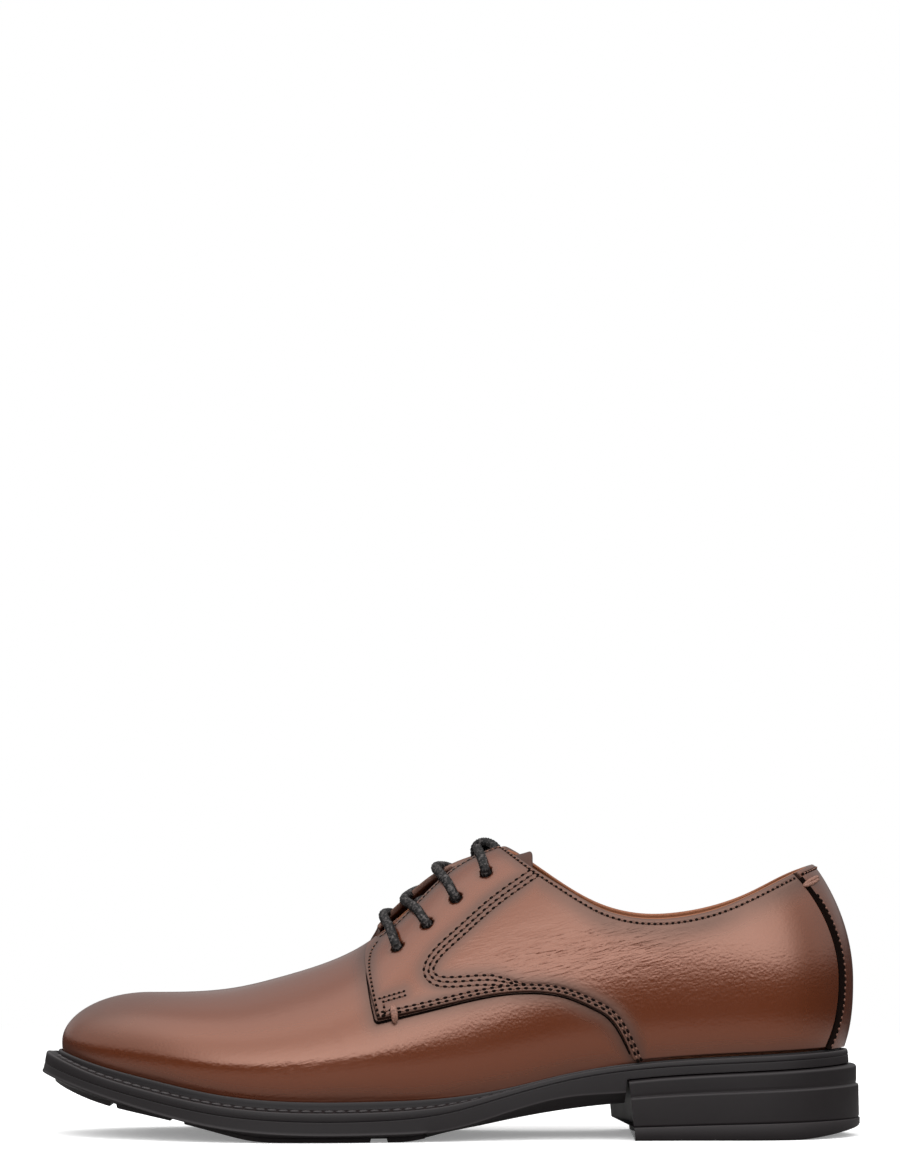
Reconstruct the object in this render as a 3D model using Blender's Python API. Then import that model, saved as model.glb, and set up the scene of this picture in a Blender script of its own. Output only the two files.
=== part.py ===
"""Lace-up derby shoe for the left foot, as separate pieces around one last.

Sizes are in millimetres and become metres when a mesh is made. A station is a
distance from the back of the heel towards the toe. Across is the distance from
the shoe's long axis, with the lateral (outer) side negative. The toe points
along -X and the shoe stands on the plane z = 0.
"""

import math

import bmesh
import bpy
import numpy as np
from mathutils import Vector

MM = 0.001

# Driving sizes
SOLE_LENGTH = 302.0
MIDDLE_ACROSS = -0.5
WALL = 1.8
QUARTER_THICKNESS = 1.6
STRIP_THICKNESS = 2.3
TONGUE_THICKNESS = 2.0
INSOLE_THICKNESS = 3.2
LACE_DIAMETER = 3.3
LACE_HOLE_DIAMETER = 4.7
SEAT_GAP = 0.3
OVERLAY_GAP = 0.6
STRIP_GAP = 0.54
STRIP_CLEAR = 0.4
OVERLAY_FOOT = 1.3

LATERAL, MEDIAL = -1, 1

# Feather line, where the upper meets the sole, seen from above
FEATHER_PLAN = [
    # station, across
    (294.6, 5.0),
    (286.5, -13.0),
    (268.0, -26.5),
    (245.0, -38.0),
    (217.0, -45.4),
    (190.0, -45.4),
    (150.0, -38.2),
    (100.0, -31.6),
    (55.0, -29.4),
    (24.0, -24.7),
    (8.4, 0.0),
    (24.0, 24.7),
    (55.0, 28.4),
    (100.0, 26.4),
    (145.0, 27.2),
    (185.0, 38.5),
    (217.0, 45.0),
    (245.0, 43.0),
    (268.0, 36.2),
    (286.5, 22.6),
]

# Feather line seen from the side
FEATHER_HEIGHT = [
    # station, height
    (8.4, 32.2),
    (36.0, 30.6),
    (80.0, 28.0),
    (108.0, 24.0),
    (130.0, 18.9),
    (150.0, 15.7),
    (180.0, 14.3),
    (214.0, 14.7),
    (236.0, 17.0),
    (258.0, 21.4),
    (280.0, 26.6),
    (294.6, 31.2),
]

# Ridge of the last from heel to toe: the cone above the collar, then the instep and the vamp
RIDGE = [
    # station, across, height
    (50.0, 0.5, 118.0),
    (75.0, 1.0, 117.0),
    (105.0, 1.5, 112.8),
    (130.0, 2.0, 106.2),
    (144.0, 2.5, 100.4),
    (157.0, 3.0, 91.8),
    (170.0, 3.5, 80.2),
    (180.0, 3.5, 71.9),
    (197.0, 4.0, 63.2),
    (214.0, 4.5, 57.9),
    (230.0, 5.0, 54.1),
    (246.0, 5.5, 52.5),
    (262.0, 6.0, 52.3),
]
TOE_FAN_FROM = 215.0
HEEL_FAN_FROM = 95.0

# Curve of a rib below its widest line, as shares of how far it goes out and up
FOOT_OUT, FOOT_UP, BELLY_DOWN = 0.7, 0.28, 0.45

# Section shape: where the wall is widest, and how full it is between there and the ridge
SECTIONS = [
    # station, lateral out, lateral rise, medial out, medial rise, side fullness, ridge fullness
    (8.4, 3.7, 25.0, 3.7, 25.0, 0.54, 0.43),
    (30.0, 2.8, 24.0, 2.8, 24.0, 0.56, 0.50),
    (60.0, 2.4, 23.0, 3.0, 24.0, 0.60, 0.58),
    (100.0, 3.0, 22.0, 5.0, 26.0, 0.60, 0.52),
    (140.0, 3.4, 19.0, 5.4, 24.0, 0.56, 0.40),
    (175.0, 3.4, 16.0, 4.4, 18.0, 0.50, 0.38),
    (205.0, 3.0, 13.0, 3.0, 13.0, 0.48, 0.44),
    (240.0, 2.2, 10.0, 2.2, 10.0, 0.52, 0.54),
    (270.0, 1.2, 7.0, 1.2, 7.0, 0.58, 0.60),
    (294.6, 0.2, 3.0, 0.2, 3.0, 0.50, 0.60),
]

# Collar edge seen from the side; the facings end where it starts
COLLAR = [
    # station, lateral height, medial height
    (12.0, 100.6, 100.6),
    (22.4, 97.0, 96.8),
    (37.0, 90.2, 89.2),
    (51.6, 83.8, 83.7),
    (66.2, 80.2, 80.9),
    (77.2, 79.4, 80.5),
    (88.3, 80.6, 82.3),
    (95.5, 82.8, 84.8),
    (110.0, 90.8, 93.0),
    (122.8, 98.9, 101.5),
    (129.0, 103.2, 104.8),
    (133.0, 105.4, 106.4),
    (137.0, 106.4, 107.6),
]
LINING_ABOVE_QUARTER = 0.7

# Throat opening between the facings, measured from the ridge
THROAT_STATION = 178.5
THROAT_CORNER_RADIUS = 5.0
FACING_GAP = [
    # station, lateral, medial
    (130.0, 7.5, 4.5),
    (155.0, 7.5, 4.0),
    (185.0, 6.5, 4.0),
]

# Quarter outline seen from the side
QUARTER_FRONT = [
    # height, station
    (42.0, 177.2),
    (50.0, 179.4),
    (58.0, 181.2),
    (65.5, 181.9),
    (69.0, 180.8),
    (73.0, 177.6),
]
QUARTER_BEGINS = 179.0
FRONT_BOW = 9.0
QUARTER_LOWER_EDGE = [
    # station, height
    (84.0, 27.0),
    (91.0, 41.0),
    (99.0, 47.4),
    (108.0, 51.3),
    (120.0, 53.3),
    (135.0, 52.4),
    (155.0, 48.2),
    (177.2, 43.4),
]
QUARTER_FOOT = 84.0

# Back strip: half width along the wall, by height
STRIP_BOTTOM, STRIP_TOP = 32.0, 100.0
BACK_STRIP_HALF_WIDTH = [
    # height, half width
    (STRIP_BOTTOM, 20.0),
    (45.0, 18.0),
    (60.0, 17.0),
    (80.0, 18.0),
    (STRIP_TOP, 20.0),
]

# Lace holes on the lateral facing; the medial ones lie as far from their own facing edge
LACE_HOLES = [
    # station, height, lift of the bar over the throat, lean of the bar towards the toe
    (170.4, 69.4, 1.8, 0.6),
    (159.0, 78.0, 0.2, 3.2),
    (149.0, 87.2, 0.9, 2.4),
    (138.0, 96.4, 0.6, 2.2),
]
BAR_SHAPE = [
    # share of the way from hole to facing edge, height off the last, share of the lift
    (0.0, -1.2, 0.0),
    (0.0, 0.8, 0.0),
    (0.0, 2.6, 0.0),
    (0.06, 4.0, 0.0),
    (0.22, 4.64, 0.0),
    (0.45, 4.44, 0.2),
    (0.72, 4.44, 0.6),
    (1.0, 4.44, 0.9),
]
CROWN_HEIGHT = 4.44
CROWN_LEAN = 1.1
LACE_TUCK = [
    # station, across, height: half knot over the top bar
    (147.5, 3.5, 101.6),
    (145.0, 2.8, 104.6),
    (140.5, 1.0, 108.0),
    (136.0, -0.6, 107.4),
    (131.0, -2.4, 105.9),
]

# Tongue
TONGUE_FRONT = 190.0
TONGUE_TOP = 122.0
TONGUE_GAP = 1.0
TONGUE_HALF_WIDTH = [
    # station, half width
    (122.0, 19.0),
    (135.0, 21.0),
    (165.0, 19.0),
    (190.0, 16.0),
]

# Sole edge round the shoe
EDGES = [
    # station, welt lateral, welt medial, welt drop, welt depth, outsole flare, outsole depth, sink
    (8.4, 4.3, 4.3, 0.8, 2.4, 0.3, 6.0, 0.8),
    (50.0, 4.0, 4.0, 0.7, 2.3, 0.3, 6.0, 0.8),
    (84.0, 2.4, 2.2, 0.7, 2.3, 0.4, 10.2, 0.8),
    (110.0, 1.5, 1.3, 0.7, 2.3, 0.6, 8.3, 0.8),
    (132.0, 2.0, 1.4, 1.1, 2.8, 0.7, 8.8, 0.9),
    (152.0, 4.0, 2.8, 2.8, 5.0, 0.6, 11.2, 1.7),
    (172.0, 5.2, 5.0, 3.7, 6.3, 0.4, 11.7, 2.2),
    (205.0, 5.4, 5.4, 3.9, 6.6, 0.4, 11.7, 2.3),
    (250.0, 5.6, 5.6, 3.8, 6.5, 0.5, 11.0, 2.3),
    (280.0, 5.8, 5.8, 2.7, 5.7, 0.8, 9.2, 2.0),
    (294.6, 6.0, 6.0, 0.9, 4.6, 1.1, 8.0, 1.6),
]
WELT_INNER = 4.0
BEAD_WIDTH = 1.1
SIDE_RIB = 0.3

# Underside of the forepart and waist
GROUND = [
    # station, height
    (84.0, 13.4),
    (94.0, 12.6),
    (108.0, 11.0),
    (126.0, 8.1),
    (142.0, 5.0),
    (153.0, 2.9),
    (161.0, 1.0),
    (168.0, 0.0),
    (190.0, 0.0),
    (214.0, 0.0),
    (222.0, 0.6),
    (234.0, 3.2),
    (244.0, 5.6),
    (255.0, 7.9),
    (266.0, 10.0),
    (277.6, 12.5),
    (289.0, 16.2),
    (298.5, 20.3),
    (302.0, 22.0),
]
FLAT_FROM, FLAT_TO = 168.0, 214.0
WAIST_BEVEL = 5.5
TREAD_INSET = 3.0
TREAD_STARTS = 160.0
TREAD_DEPTH = 1.4
TREAD_GROOVES = [
    # station, width
    (176.8, 6.0),
    (248.2, 4.8),
    (272.0, 2.4),
]

# Heel
BREAST_LATERAL = 85.0
BREAST_SKEW = 7.0
BREAST_SKEW_REACH = 36.0
BREAST_HOLLOW = 3.0
LIFT_SKEW = 0.1
HEEL_SEAT_DEPTH = 5.5
HEEL_GAP = 0.4
HEEL_SIDE_OVERHANG = 6.2
HEEL_BACK_OVERHANG = 8.2
HEEL_BACK_STARTS = 34.0
HEEL_LAYERS = [
    # share of the height from the top, how far it steps out
    (0.00, -2.0),
    (0.08, -1.2),
    (0.375, -0.3),
    (0.39, -0.8),
    (0.41, -0.8),
    (0.425, 0.0),
    (1.00, 0.2),
]
TOP_LIFT_FRONT = 4.8
TOP_LIFT_BACK = 7.0
HEEL_ROLL_STARTS = 28.0
HEEL_ROLL_RISE = 3.6

LEATHER_BROWN = (0.165, 0.055, 0.020)
LINING_BROWN = (0.260, 0.110, 0.045)
SOLE_BLACK = (0.018, 0.016, 0.016)
LACE_BLACK = (0.025, 0.022, 0.021)


# Curves through tables

def spline(xs, ys):
    """Smooth natural cubic through the points, as a function of one array."""
    xs = np.asarray(xs, float)
    ys = np.asarray(ys, float)
    count = len(xs)
    gaps = np.diff(xs)
    system = np.eye(count)
    right = np.zeros(count)
    for i in range(1, count - 1):
        system[i, i - 1:i + 2] = gaps[i - 1], 2 * (gaps[i - 1] + gaps[i]), gaps[i]
        right[i] = 6 * ((ys[i + 1] - ys[i]) / gaps[i] - (ys[i] - ys[i - 1]) / gaps[i - 1])
    bend = np.linalg.solve(system, right)

    def value(x):
        x = np.clip(np.asarray(x, float), xs[0], xs[-1])
        i = np.clip(np.searchsorted(xs, x) - 1, 0, count - 2)
        low = xs[i + 1] - x
        high = x - xs[i]
        width = gaps[i]
        return (
            (bend[i] * low ** 3 + bend[i + 1] * high ** 3) / (6 * width)
            + (ys[i] / width - bend[i] * width / 6) * low
            + (ys[i + 1] / width - bend[i + 1] * width / 6) * high
        )

    return value


def column(table, index):
    """Spline of one column of a table against its first column."""
    rows = sorted(table)
    return spline([row[0] for row in rows], [row[index] for row in rows])


def closed_curve(points, samples=2400, laps=3):
    """Dense points of a smooth closed curve: the middle one of several laps."""
    loop = np.array(list(points) * laps + [points[0]], float)
    steps = np.r_[0, np.cumsum(np.hypot(*np.diff(loop, axis=0).T))]
    start, end = steps[len(points)], steps[2 * len(points)]
    along = np.linspace(start, end, samples, endpoint=False)
    return np.column_stack([spline(steps, loop[:, i])(along) for i in (0, 1)])


class Plan:
    """A closed outline seen from above, read by side and station."""

    def __init__(self, points):
        curve = closed_curve(points)
        curve = np.roll(curve, -int(np.argmax(curve[:, 0])), axis=0)
        tangent = np.roll(curve, -1, axis=0) - np.roll(curve, 1, axis=0)
        tangent /= np.linalg.norm(tangent, axis=1)[:, None]
        outward = np.column_stack([-tangent[:, 1], tangent[:, 0]])
        heel = int(np.argmin(curve[:, 0]))
        self.toe = float(curve[0, 0])
        self.heel = float(curve[heel, 0])
        self.halves = {}
        orders = {
            LATERAL: np.arange(heel, -1, -1),
            MEDIAL: np.r_[np.arange(heel, len(curve)), 0],
        }
        for side, order in orders.items():
            rising = np.r_[True, np.diff(curve[order, 0]) > 0]
            order = order[rising]
            self.halves[side] = (curve[order], outward[order])

    def at(self, side, station):
        """Point (station, across) and outward direction on one side."""
        points, outward = self.halves[side]
        place = [np.interp(station, points[:, 0], points[:, i]) for i in (0, 1)]
        facing = [np.interp(station, points[:, 0], outward[:, i]) for i in (0, 1)]
        size = np.hypot(*facing)
        return np.stack(place, -1), np.stack([facing[0] / size, facing[1] / size], -1)


FEATHER = Plan(FEATHER_PLAN)
feather_height = column(FEATHER_HEIGHT, 1)
ridge_across = column(RIDGE, 1)
ridge_height = column(RIDGE, 2)
section_out = {LATERAL: column(SECTIONS, 1), MEDIAL: column(SECTIONS, 3)}
section_rise = {LATERAL: column(SECTIONS, 2), MEDIAL: column(SECTIONS, 4)}
side_fullness = column(SECTIONS, 5)
ridge_fullness = column(SECTIONS, 6)
collar_height = {LATERAL: column(COLLAR, 1), MEDIAL: column(COLLAR, 2)}
facing_gap = {LATERAL: column(FACING_GAP, 1), MEDIAL: column(FACING_GAP, 2)}
quarter_front = column(QUARTER_FRONT, 1)
quarter_lower_edge = column(QUARTER_LOWER_EDGE, 1)
strip_half_width = column(BACK_STRIP_HALF_WIDTH, 1)
tongue_half_width = column(TONGUE_HALF_WIDTH, 1)
welt_overhang = {LATERAL: column(EDGES, 1), MEDIAL: column(EDGES, 2)}
welt_drop = column(EDGES, 3)
welt_depth = column(EDGES, 4)
outsole_flare = column(EDGES, 5)
outsole_depth = column(EDGES, 6)
upper_sink = column(EDGES, 7)
ground_curve = column(GROUND, 1)


def ground_height(station):
    """Height of the tread face, level where the forepart stands."""
    level = (station >= FLAT_FROM) & (station <= FLAT_TO)
    return np.where(level, 0.0, np.maximum(0.0, ground_curve(station)))


# The last

def ridge_station(station):
    """Where the rib of a feather station reaches the ridge: the ribs fan out at toe and heel."""
    heel_end, toe_end = RIDGE[0][0], RIDGE[-1][0]
    toe_pull = (FEATHER.toe - toe_end) / (FEATHER.toe - TOE_FAN_FROM) ** 2
    heel_pull = (heel_end - FEATHER.heel) / (HEEL_FAN_FROM - FEATHER.heel) ** 2
    past_toe = np.maximum(0, station - TOE_FAN_FROM)
    past_heel = np.maximum(0, HEEL_FAN_FROM - station)
    return station - toe_pull * past_toe ** 2 + heel_pull * past_heel ** 2


def bezier(points, t):
    share = 1 - t
    weights = (share ** 3, 3 * t * share ** 2, 3 * t ** 2 * share, t ** 3)
    return sum(w[..., None] * p for w, p in zip(weights, points))


def last_point(side, station, t):
    """Point (station, across, height) of the last.

    t is 0 on the feather line, 1 where the wall is widest and 2 on the ridge.
    """
    station, t = np.broadcast_arrays(np.asarray(station, float), np.asarray(t, float))
    base, outward = FEATHER.at(side, station)
    low = feather_height(base[..., 0])
    out = section_out[side](station)[..., None]
    rise = section_rise[side](station)
    foot = np.concatenate([base, low[..., None]], -1)
    belly = np.concatenate([base + outward * out, (low + rise)[..., None]], -1)
    top = ridge_station(station)
    peak = np.stack([top, ridge_across(top), ridge_height(top)], -1)
    slope = ridge_height(top + 0.5) - ridge_height(top - 0.5)
    up = np.zeros_like(foot)
    up[..., 2] = 1
    lower = bezier(
        (
            foot,
            foot + np.concatenate([outward * out * FOOT_OUT, rise[..., None] * FOOT_UP], -1),
            belly - up * rise[..., None] * BELLY_DOWN,
            belly,
        ),
        np.clip(t, 0, 1),
    )
    side_handle = side_fullness(station) * (peak[..., 2] - belly[..., 2])
    reach = ridge_fullness(station)[..., None] * (belly[..., :2] - peak[..., :2])
    ridge_handle = np.concatenate([reach, (slope * reach[..., 0])[..., None]], -1)
    upper = bezier(
        (belly, belly + up * side_handle[..., None], peak + ridge_handle, peak),
        np.clip(t - 1, 0, 1),
    )
    return np.where((t < 1)[..., None], lower, upper)


def around_ends(side, station, t):
    """Point of the last that carries on to the other side past the toe or the heel."""
    folded = np.where(station > FEATHER.toe, 2 * FEATHER.toe - station, station)
    folded = np.where(folded < FEATHER.heel, 2 * FEATHER.heel - folded, folded)
    beyond = (folded != station)[..., None]
    return np.where(beyond, last_point(-side, folded, t), last_point(side, folded, t))


def last_normal(side, station, t):
    """Outward unit normal of the last."""
    station, t = np.broadcast_arrays(np.asarray(station, float), np.asarray(t, float))
    step, turn = 0.4, 0.004
    inner = np.clip(t, turn, 2 - turn)
    along = around_ends(side, station + step, inner) - around_ends(side, station - step, inner)
    up = last_point(side, station, inner + turn) - last_point(side, station, inner - turn)
    normal = np.cross(along, up) * -side
    normal /= np.linalg.norm(normal, axis=-1)[..., None]
    top = ridge_station(station)
    slope = ridge_height(top + 0.5) - ridge_height(top - 0.5)
    on_ridge = np.stack([-slope, np.zeros_like(slope), np.ones_like(slope)], -1)
    on_ridge /= np.linalg.norm(on_ridge, axis=-1)[..., None]
    return np.where((t > 1.999)[..., None], on_ridge, normal)


def off_last(side, station, t, distance):
    """Point at a distance outside the last."""
    return last_point(side, station, t) + last_normal(side, station, t) * distance


def t_at_height(side, station, height):
    """Where the rib of a station reaches a height."""
    t = np.linspace(0, 2, 161)
    heights = last_point(side, np.full_like(t, station), t)[:, 2]
    return float(np.interp(height, np.maximum.accumulate(heights), t))


def t_near_ridge(side, station, distance):
    """Where the rib of a station is a horizontal distance away from the ridge."""
    t = np.linspace(2, 1, 161)
    points = last_point(side, np.full_like(t, station), t)
    away = np.hypot(*(points[:, :2] - points[0, :2]).T)
    return float(np.interp(distance, away, t))


def from_side(side, station, height, tries=5):
    """Rib and t of the point of the last that shows at a station and height from the side."""
    rib = station
    for _ in range(tries):
        t = t_at_height(side, rib, height)
        rib = float(np.clip(rib + station - last_point(side, rib, t)[0], FEATHER.heel, FEATHER.toe))
    return rib, t_at_height(side, rib, height)


def collar_t(side, rib, above=0.0):
    """t where a rib reaches the collar edge, and the station there."""
    reached = rib
    for _ in range(8):
        t = t_at_height(side, rib, float(collar_height[side](reached)) + above)
        reached = float(last_point(side, rib, t)[0])
    return t, reached


def top_of_wall(side, rib, rounded=True, above=0.0):
    """t where the wall of a rib ends: on the ridge, at the facing edge or at the collar."""
    gap = float(facing_gap[side](rib))
    if rounded:
        behind = max(0.0, THROAT_STATION - rib)
        corner = THROAT_CORNER_RADIUS
        gap *= math.sqrt(max(0.0, corner ** 2 - max(0.0, corner - behind) ** 2)) / corner
    end = t_near_ridge(side, rib, gap)
    collar, reached = collar_t(side, rib, above)
    return min(end, collar) if reached < COLLAR[-1][0] else end


# Mesh making

def in_frame(point):
    """A (station, across, height) point in the part's frame, in metres."""
    return Vector((
        (SOLE_LENGTH / 2 - point[0]) * MM,
        (point[1] - MIDDLE_ACROSS) * MM,
        point[2] * MM,
    ))


def material(name, colour, roughness):
    made = bpy.data.materials.new(name)
    made.use_nodes = True
    shader = made.node_tree.nodes["Principled BSDF"]
    shader.inputs["Base Color"].default_value = (*colour, 1)
    shader.inputs["Roughness"].default_value = roughness
    shader.inputs["Metallic"].default_value = 0
    return made


def object_from_bmesh(name, built, colour, roughness):
    bmesh.ops.remove_doubles(built, verts=built.verts, dist=0.02 * MM)
    bmesh.ops.recalc_face_normals(built, faces=built.faces)
    mesh_data = bpy.data.meshes.new(name)
    built.to_mesh(mesh_data)
    built.free()
    made = bpy.data.objects.new(name, mesh_data)
    bpy.context.scene.collection.objects.link(made)
    made.data.materials.append(material(name, colour, roughness))
    return made


def new_verts(built, rows):
    return [[built.verts.new(in_frame(p)) for p in row] for row in rows]


def bridge(built, first, second, closed=False):
    """Faces between two rows of vertices."""
    count = len(first)
    for i in range(count if closed else count - 1):
        j = (i + 1) % count
        built.faces.new((first[i], first[j], second[j], second[i]))


def thick_sheet(name, outer, inner, colour, roughness):
    """Solid between two grids of points with one layout: both faces and the rims between them."""
    built = bmesh.new()
    out = new_verts(built, outer)
    back = new_verts(built, inner)
    for grid in (out, back):
        for first, second in zip(grid, grid[1:]):
            bridge(built, first, second)
    for i in (0, -1):
        bridge(built, out[i], back[i])
        bridge(built, [row[i] for row in out], [row[i] for row in back])
    return object_from_bmesh(name, built, colour, roughness)


def loft(name, rows, colour, roughness, ring=False, capped=False):
    """Solid through closed rows of points; a ring joins its last row to its first."""
    built = bmesh.new()
    verts = new_verts(built, rows)
    for first, second in zip(verts, verts[1:]):
        bridge(built, first, second, closed=True)
    if ring:
        bridge(built, verts[-1], verts[0], closed=True)
    if capped:
        built.faces.new(verts[0])
        built.faces.new(verts[-1])
    return object_from_bmesh(name, built, colour, roughness)


def cut(target, cutters):
    for cutter in cutters:
        modifier = target.modifiers.new("cut_" + cutter.name, "BOOLEAN")
        modifier.operation = "DIFFERENCE"
        modifier.solver = "EXACT"
        modifier.object = cutter


def fan(start, end, count):
    """Stations from start to end that crowd towards end, as points of an arc do."""
    angles = np.linspace(0, math.pi / 2, count)
    return start + (end - start) * np.sin(angles)


def around(stations):
    """(side, station) pairs once round the shoe from the toe: lateral side out, medial side back."""
    toe_to_heel = np.sort(stations)[::-1]
    out = [(LATERAL, s) for s in toe_to_heel]
    back = [(MEDIAL, s) for s in toe_to_heel[-2:0:-1]]
    return out + back


# Upper

def rib_stations():
    toe = fan(234, FEATHER.toe, 8)
    throat = THROAT_STATION - np.array([-8, 0, 0.25, 1.3, 3.0, 5.0])
    facing = np.array([166, 158, 150, 142, 137, 134, 131])
    quarter = np.array([125, 117, 108, 98, 87, 75, 62])
    heel = fan(48, FEATHER.heel, 8)
    return np.r_[toe, 223, 211, 199, throat, facing, quarter, heel]


def make_upper(steps=9):
    """Hollow wall: outer and inner rib grids, a rim underneath and one round throat and collar."""
    ribs = around(rib_stations())
    outer, inner, ends = [], [], []
    for side, station in ribs:
        end = top_of_wall(side, station, above=LINING_ABOVE_QUARTER)
        t = np.linspace(0, 1, steps + 1) ** 0.9 * end
        skin = off_last(side, station, t, 0.0)
        lining = off_last(side, station, t, -WALL)
        base, outward = FEATHER.at(side, station)
        low = skin[0, 2] - float(upper_sink(station))
        foot = np.array([[*base, low]])
        foot_in = np.array([[*(base - outward * WALL), low]])
        lining[0] = [*foot_in[0, :2], skin[0, 2]]
        outer.append(np.concatenate([foot, skin]))
        inner.append(np.concatenate([foot_in, lining]))
        ends.append(end)
    built = bmesh.new()
    out = new_verts(built, outer)
    back = new_verts(built, inner)
    for i in range(len(ribs)):
        j = (i + 1) % len(ribs)
        bridge(built, out[i], out[j])
        bridge(built, back[i], back[j])
        built.faces.new((out[i][0], out[j][0], back[j][0], back[i][0]))
        if min(ends[i], ends[j]) < 1.9999:
            built.faces.new((out[i][-1], out[j][-1], back[j][-1], back[i][-1]))
    return object_from_bmesh("upper", built, LEATHER_BROWN, 0.42)


def make_quarter(name, side, rows=8):
    """Derby quarter over the upper, from its front edge to the back strip."""
    front = np.array([0, 0.6, 2.5, 6.0])
    ribs = np.r_[
        QUARTER_BEGINS - front, 170, 163, 156, 149, 142, 137, 134.5, 132,
        126, 118, 108, 99, 93, 88.5, 84, 78, 70, 62, 55,
    ]
    inner, outer = [], []
    for rib in ribs:
        bow = max(0.0, 1 - (QUARTER_BEGINS - rib) / FRONT_BOW) ** 2
        low = float(feather_height(rib)) + OVERLAY_FOOT
        if rib > QUARTER_FOOT:
            low = max(low, float(quarter_lower_edge(rib)))
        end = top_of_wall(side, rib, rounded=False)
        line_in, line_out = [], []
        for t in np.linspace(t_at_height(side, rib, low), end, rows + 1):
            height = float(last_point(side, rib, t)[2])
            place = rib + bow * (float(quarter_front(height)) - QUARTER_BEGINS)
            if t == end:
                t = top_of_wall(side, place, rounded=False)
            elif bow > 0:
                t = t_at_height(side, place, height)
            line_in.append(off_last(side, place, t, OVERLAY_GAP))
            line_out.append(off_last(side, place, t, OVERLAY_GAP + QUARTER_THICKNESS))
        inner.append(line_in)
        outer.append(line_out)
    for beyond in (34.0, 27.0, 20.5, 15.0, 9.5, 4.8, STRIP_CLEAR):
        places = strip_edge(side, beyond, rows)
        inner.append([off_last(side, rib, t, OVERLAY_GAP) for rib, t in places])
        outer.append([off_last(side, rib, t, OVERLAY_GAP + QUARTER_THICKNESS) for rib, t in places])
    return thick_sheet(name, outer, inner, LEATHER_BROWN, 0.38)


def back_arc(side, t_share, lengths):
    """(rib, t) at lengths along the wall from the back seam, at a share of the wall's height."""
    ribs = fan(70, FEATHER.heel, 60)[::-1]
    ends = np.array([collar_t(side, r)[0] for r in ribs[::6]])
    end = np.interp(ribs, ribs[::6], ends)
    lows = feather_height(ribs[::6]) + OVERLAY_FOOT
    foot = np.array([t_at_height(side, r, low) for r, low in zip(ribs[::6], lows)])
    start = np.interp(ribs, ribs[::6], foot)
    t = start + (end - start) * t_share
    points = last_point(side, ribs, t)
    walked = np.r_[0, np.cumsum(np.linalg.norm(np.diff(points, axis=0), axis=1))]
    rib = np.interp(lengths, walked, ribs)
    return rib, np.interp(rib, ribs, t)


def strip_edge(side, beyond, rows):
    """(rib, t) places from the feather line to the collar, at a distance beyond the back strip."""
    made = []
    for share in np.linspace(0, 1, rows + 1):
        half = float(strip_half_width(STRIP_BOTTOM + (STRIP_TOP - STRIP_BOTTOM) * share))
        rib, t = back_arc(side, share, half + beyond)
        made.append((float(rib), float(t)))
    return made


def make_back_strip(rows=9, columns=5):
    inner, outer = [], []
    for share in np.linspace(0, 1, rows + 1):
        half = float(strip_half_width(STRIP_BOTTOM + (STRIP_TOP - STRIP_BOTTOM) * share))
        line_in, line_out = [], []
        for side, lengths in (
            (LATERAL, np.linspace(half, 0, columns + 1)),
            (MEDIAL, np.linspace(0, half, columns + 1)[1:]),
        ):
            rib, t = back_arc(side, share, lengths)
            line_in.extend(off_last(side, rib, t, STRIP_GAP))
            line_out.extend(off_last(side, rib, t, STRIP_GAP + STRIP_THICKNESS))
        inner.append(line_in)
        outer.append(line_out)
    return thick_sheet("back_strip", outer, inner, LEATHER_BROWN, 0.38)


def make_tongue(columns=4):
    outside = -(WALL + TONGUE_GAP)
    stations = np.linspace(TONGUE_FRONT, TONGUE_TOP, 12)
    outer, inner = [], []
    for station in stations:
        half = float(tongue_half_width(station))
        line_out, line_in = [], []
        for side, shares in (
            (LATERAL, np.linspace(1, 0, columns + 1)),
            (MEDIAL, np.linspace(0, 1, columns + 1)[1:]),
        ):
            t = np.array([t_near_ridge(side, station, half * share) for share in shares])
            line_out.extend(off_last(side, station, t, outside))
            line_in.extend(off_last(side, station, t, outside - TONGUE_THICKNESS))
        outer.append(line_out)
        inner.append(line_in)
    return thick_sheet("tongue", outer, inner, LEATHER_BROWN, 0.5)


# Sole

def on_edge(side, station, out, height):
    """Point at a distance outside the feather line, at a height."""
    base, outward = FEATHER.at(side, station)
    return np.array([*(base + outward * out), float(height)])


def level_inside(side, station, out):
    """Feather height at the place inside the feather line, which is lower near the toe tip."""
    return float(feather_height(on_edge(side, station, out, 0)[0]))


def welt_profile(side, station):
    out = float(welt_overhang[side](station))
    drop = float(welt_drop(station))
    depth = float(welt_depth(station))
    sink = float(upper_sink(station)) + SEAT_GAP
    level = float(feather_height(station))
    inner = level - level_inside(side, station, -WELT_INNER)
    bead = min(0.35 + BEAD_WIDTH, out * 0.72)
    shelf = min(bead + 0.25, out * 0.85)
    shape = [
        # out, below the feather line
        (-WELT_INNER, sink + inner),
        (0.35, sink),
        (0.40, 0.0),
        (bead - 0.15, 0.1),
        (bead, drop * 0.28),
        (shelf, drop * 0.42),
        (out - 0.25, drop - 0.1),
        (out, drop + 0.3),
        (out, depth),
        (-WELT_INNER, depth + inner),
    ]
    return [on_edge(side, station, o, level - below) for o, below in shape]


def make_welt():
    stations = np.r_[
        fan(232, FEATHER.toe, 9), 220, 208, 196, 184, 172, 161, 150, 140, 130, 119, 107, 94, 81, 66,
        fan(50, FEATHER.heel, 8),
    ]
    rows = [welt_profile(side, s) for side, s in around(stations)]
    return loft("welt", rows, SOLE_BLACK, 0.5, ring=True)


def breast_skew(station):
    """How much further forward a cross line of the sole lies on the medial side."""
    near = max(0.0, 1 - ((station - BREAST_LATERAL) / BREAST_SKEW_REACH) ** 2)
    return BREAST_SKEW * near ** 2


def in_groove(station):
    return any(abs(station - middle) < width / 2 for middle, width in TREAD_GROOVES)


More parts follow.
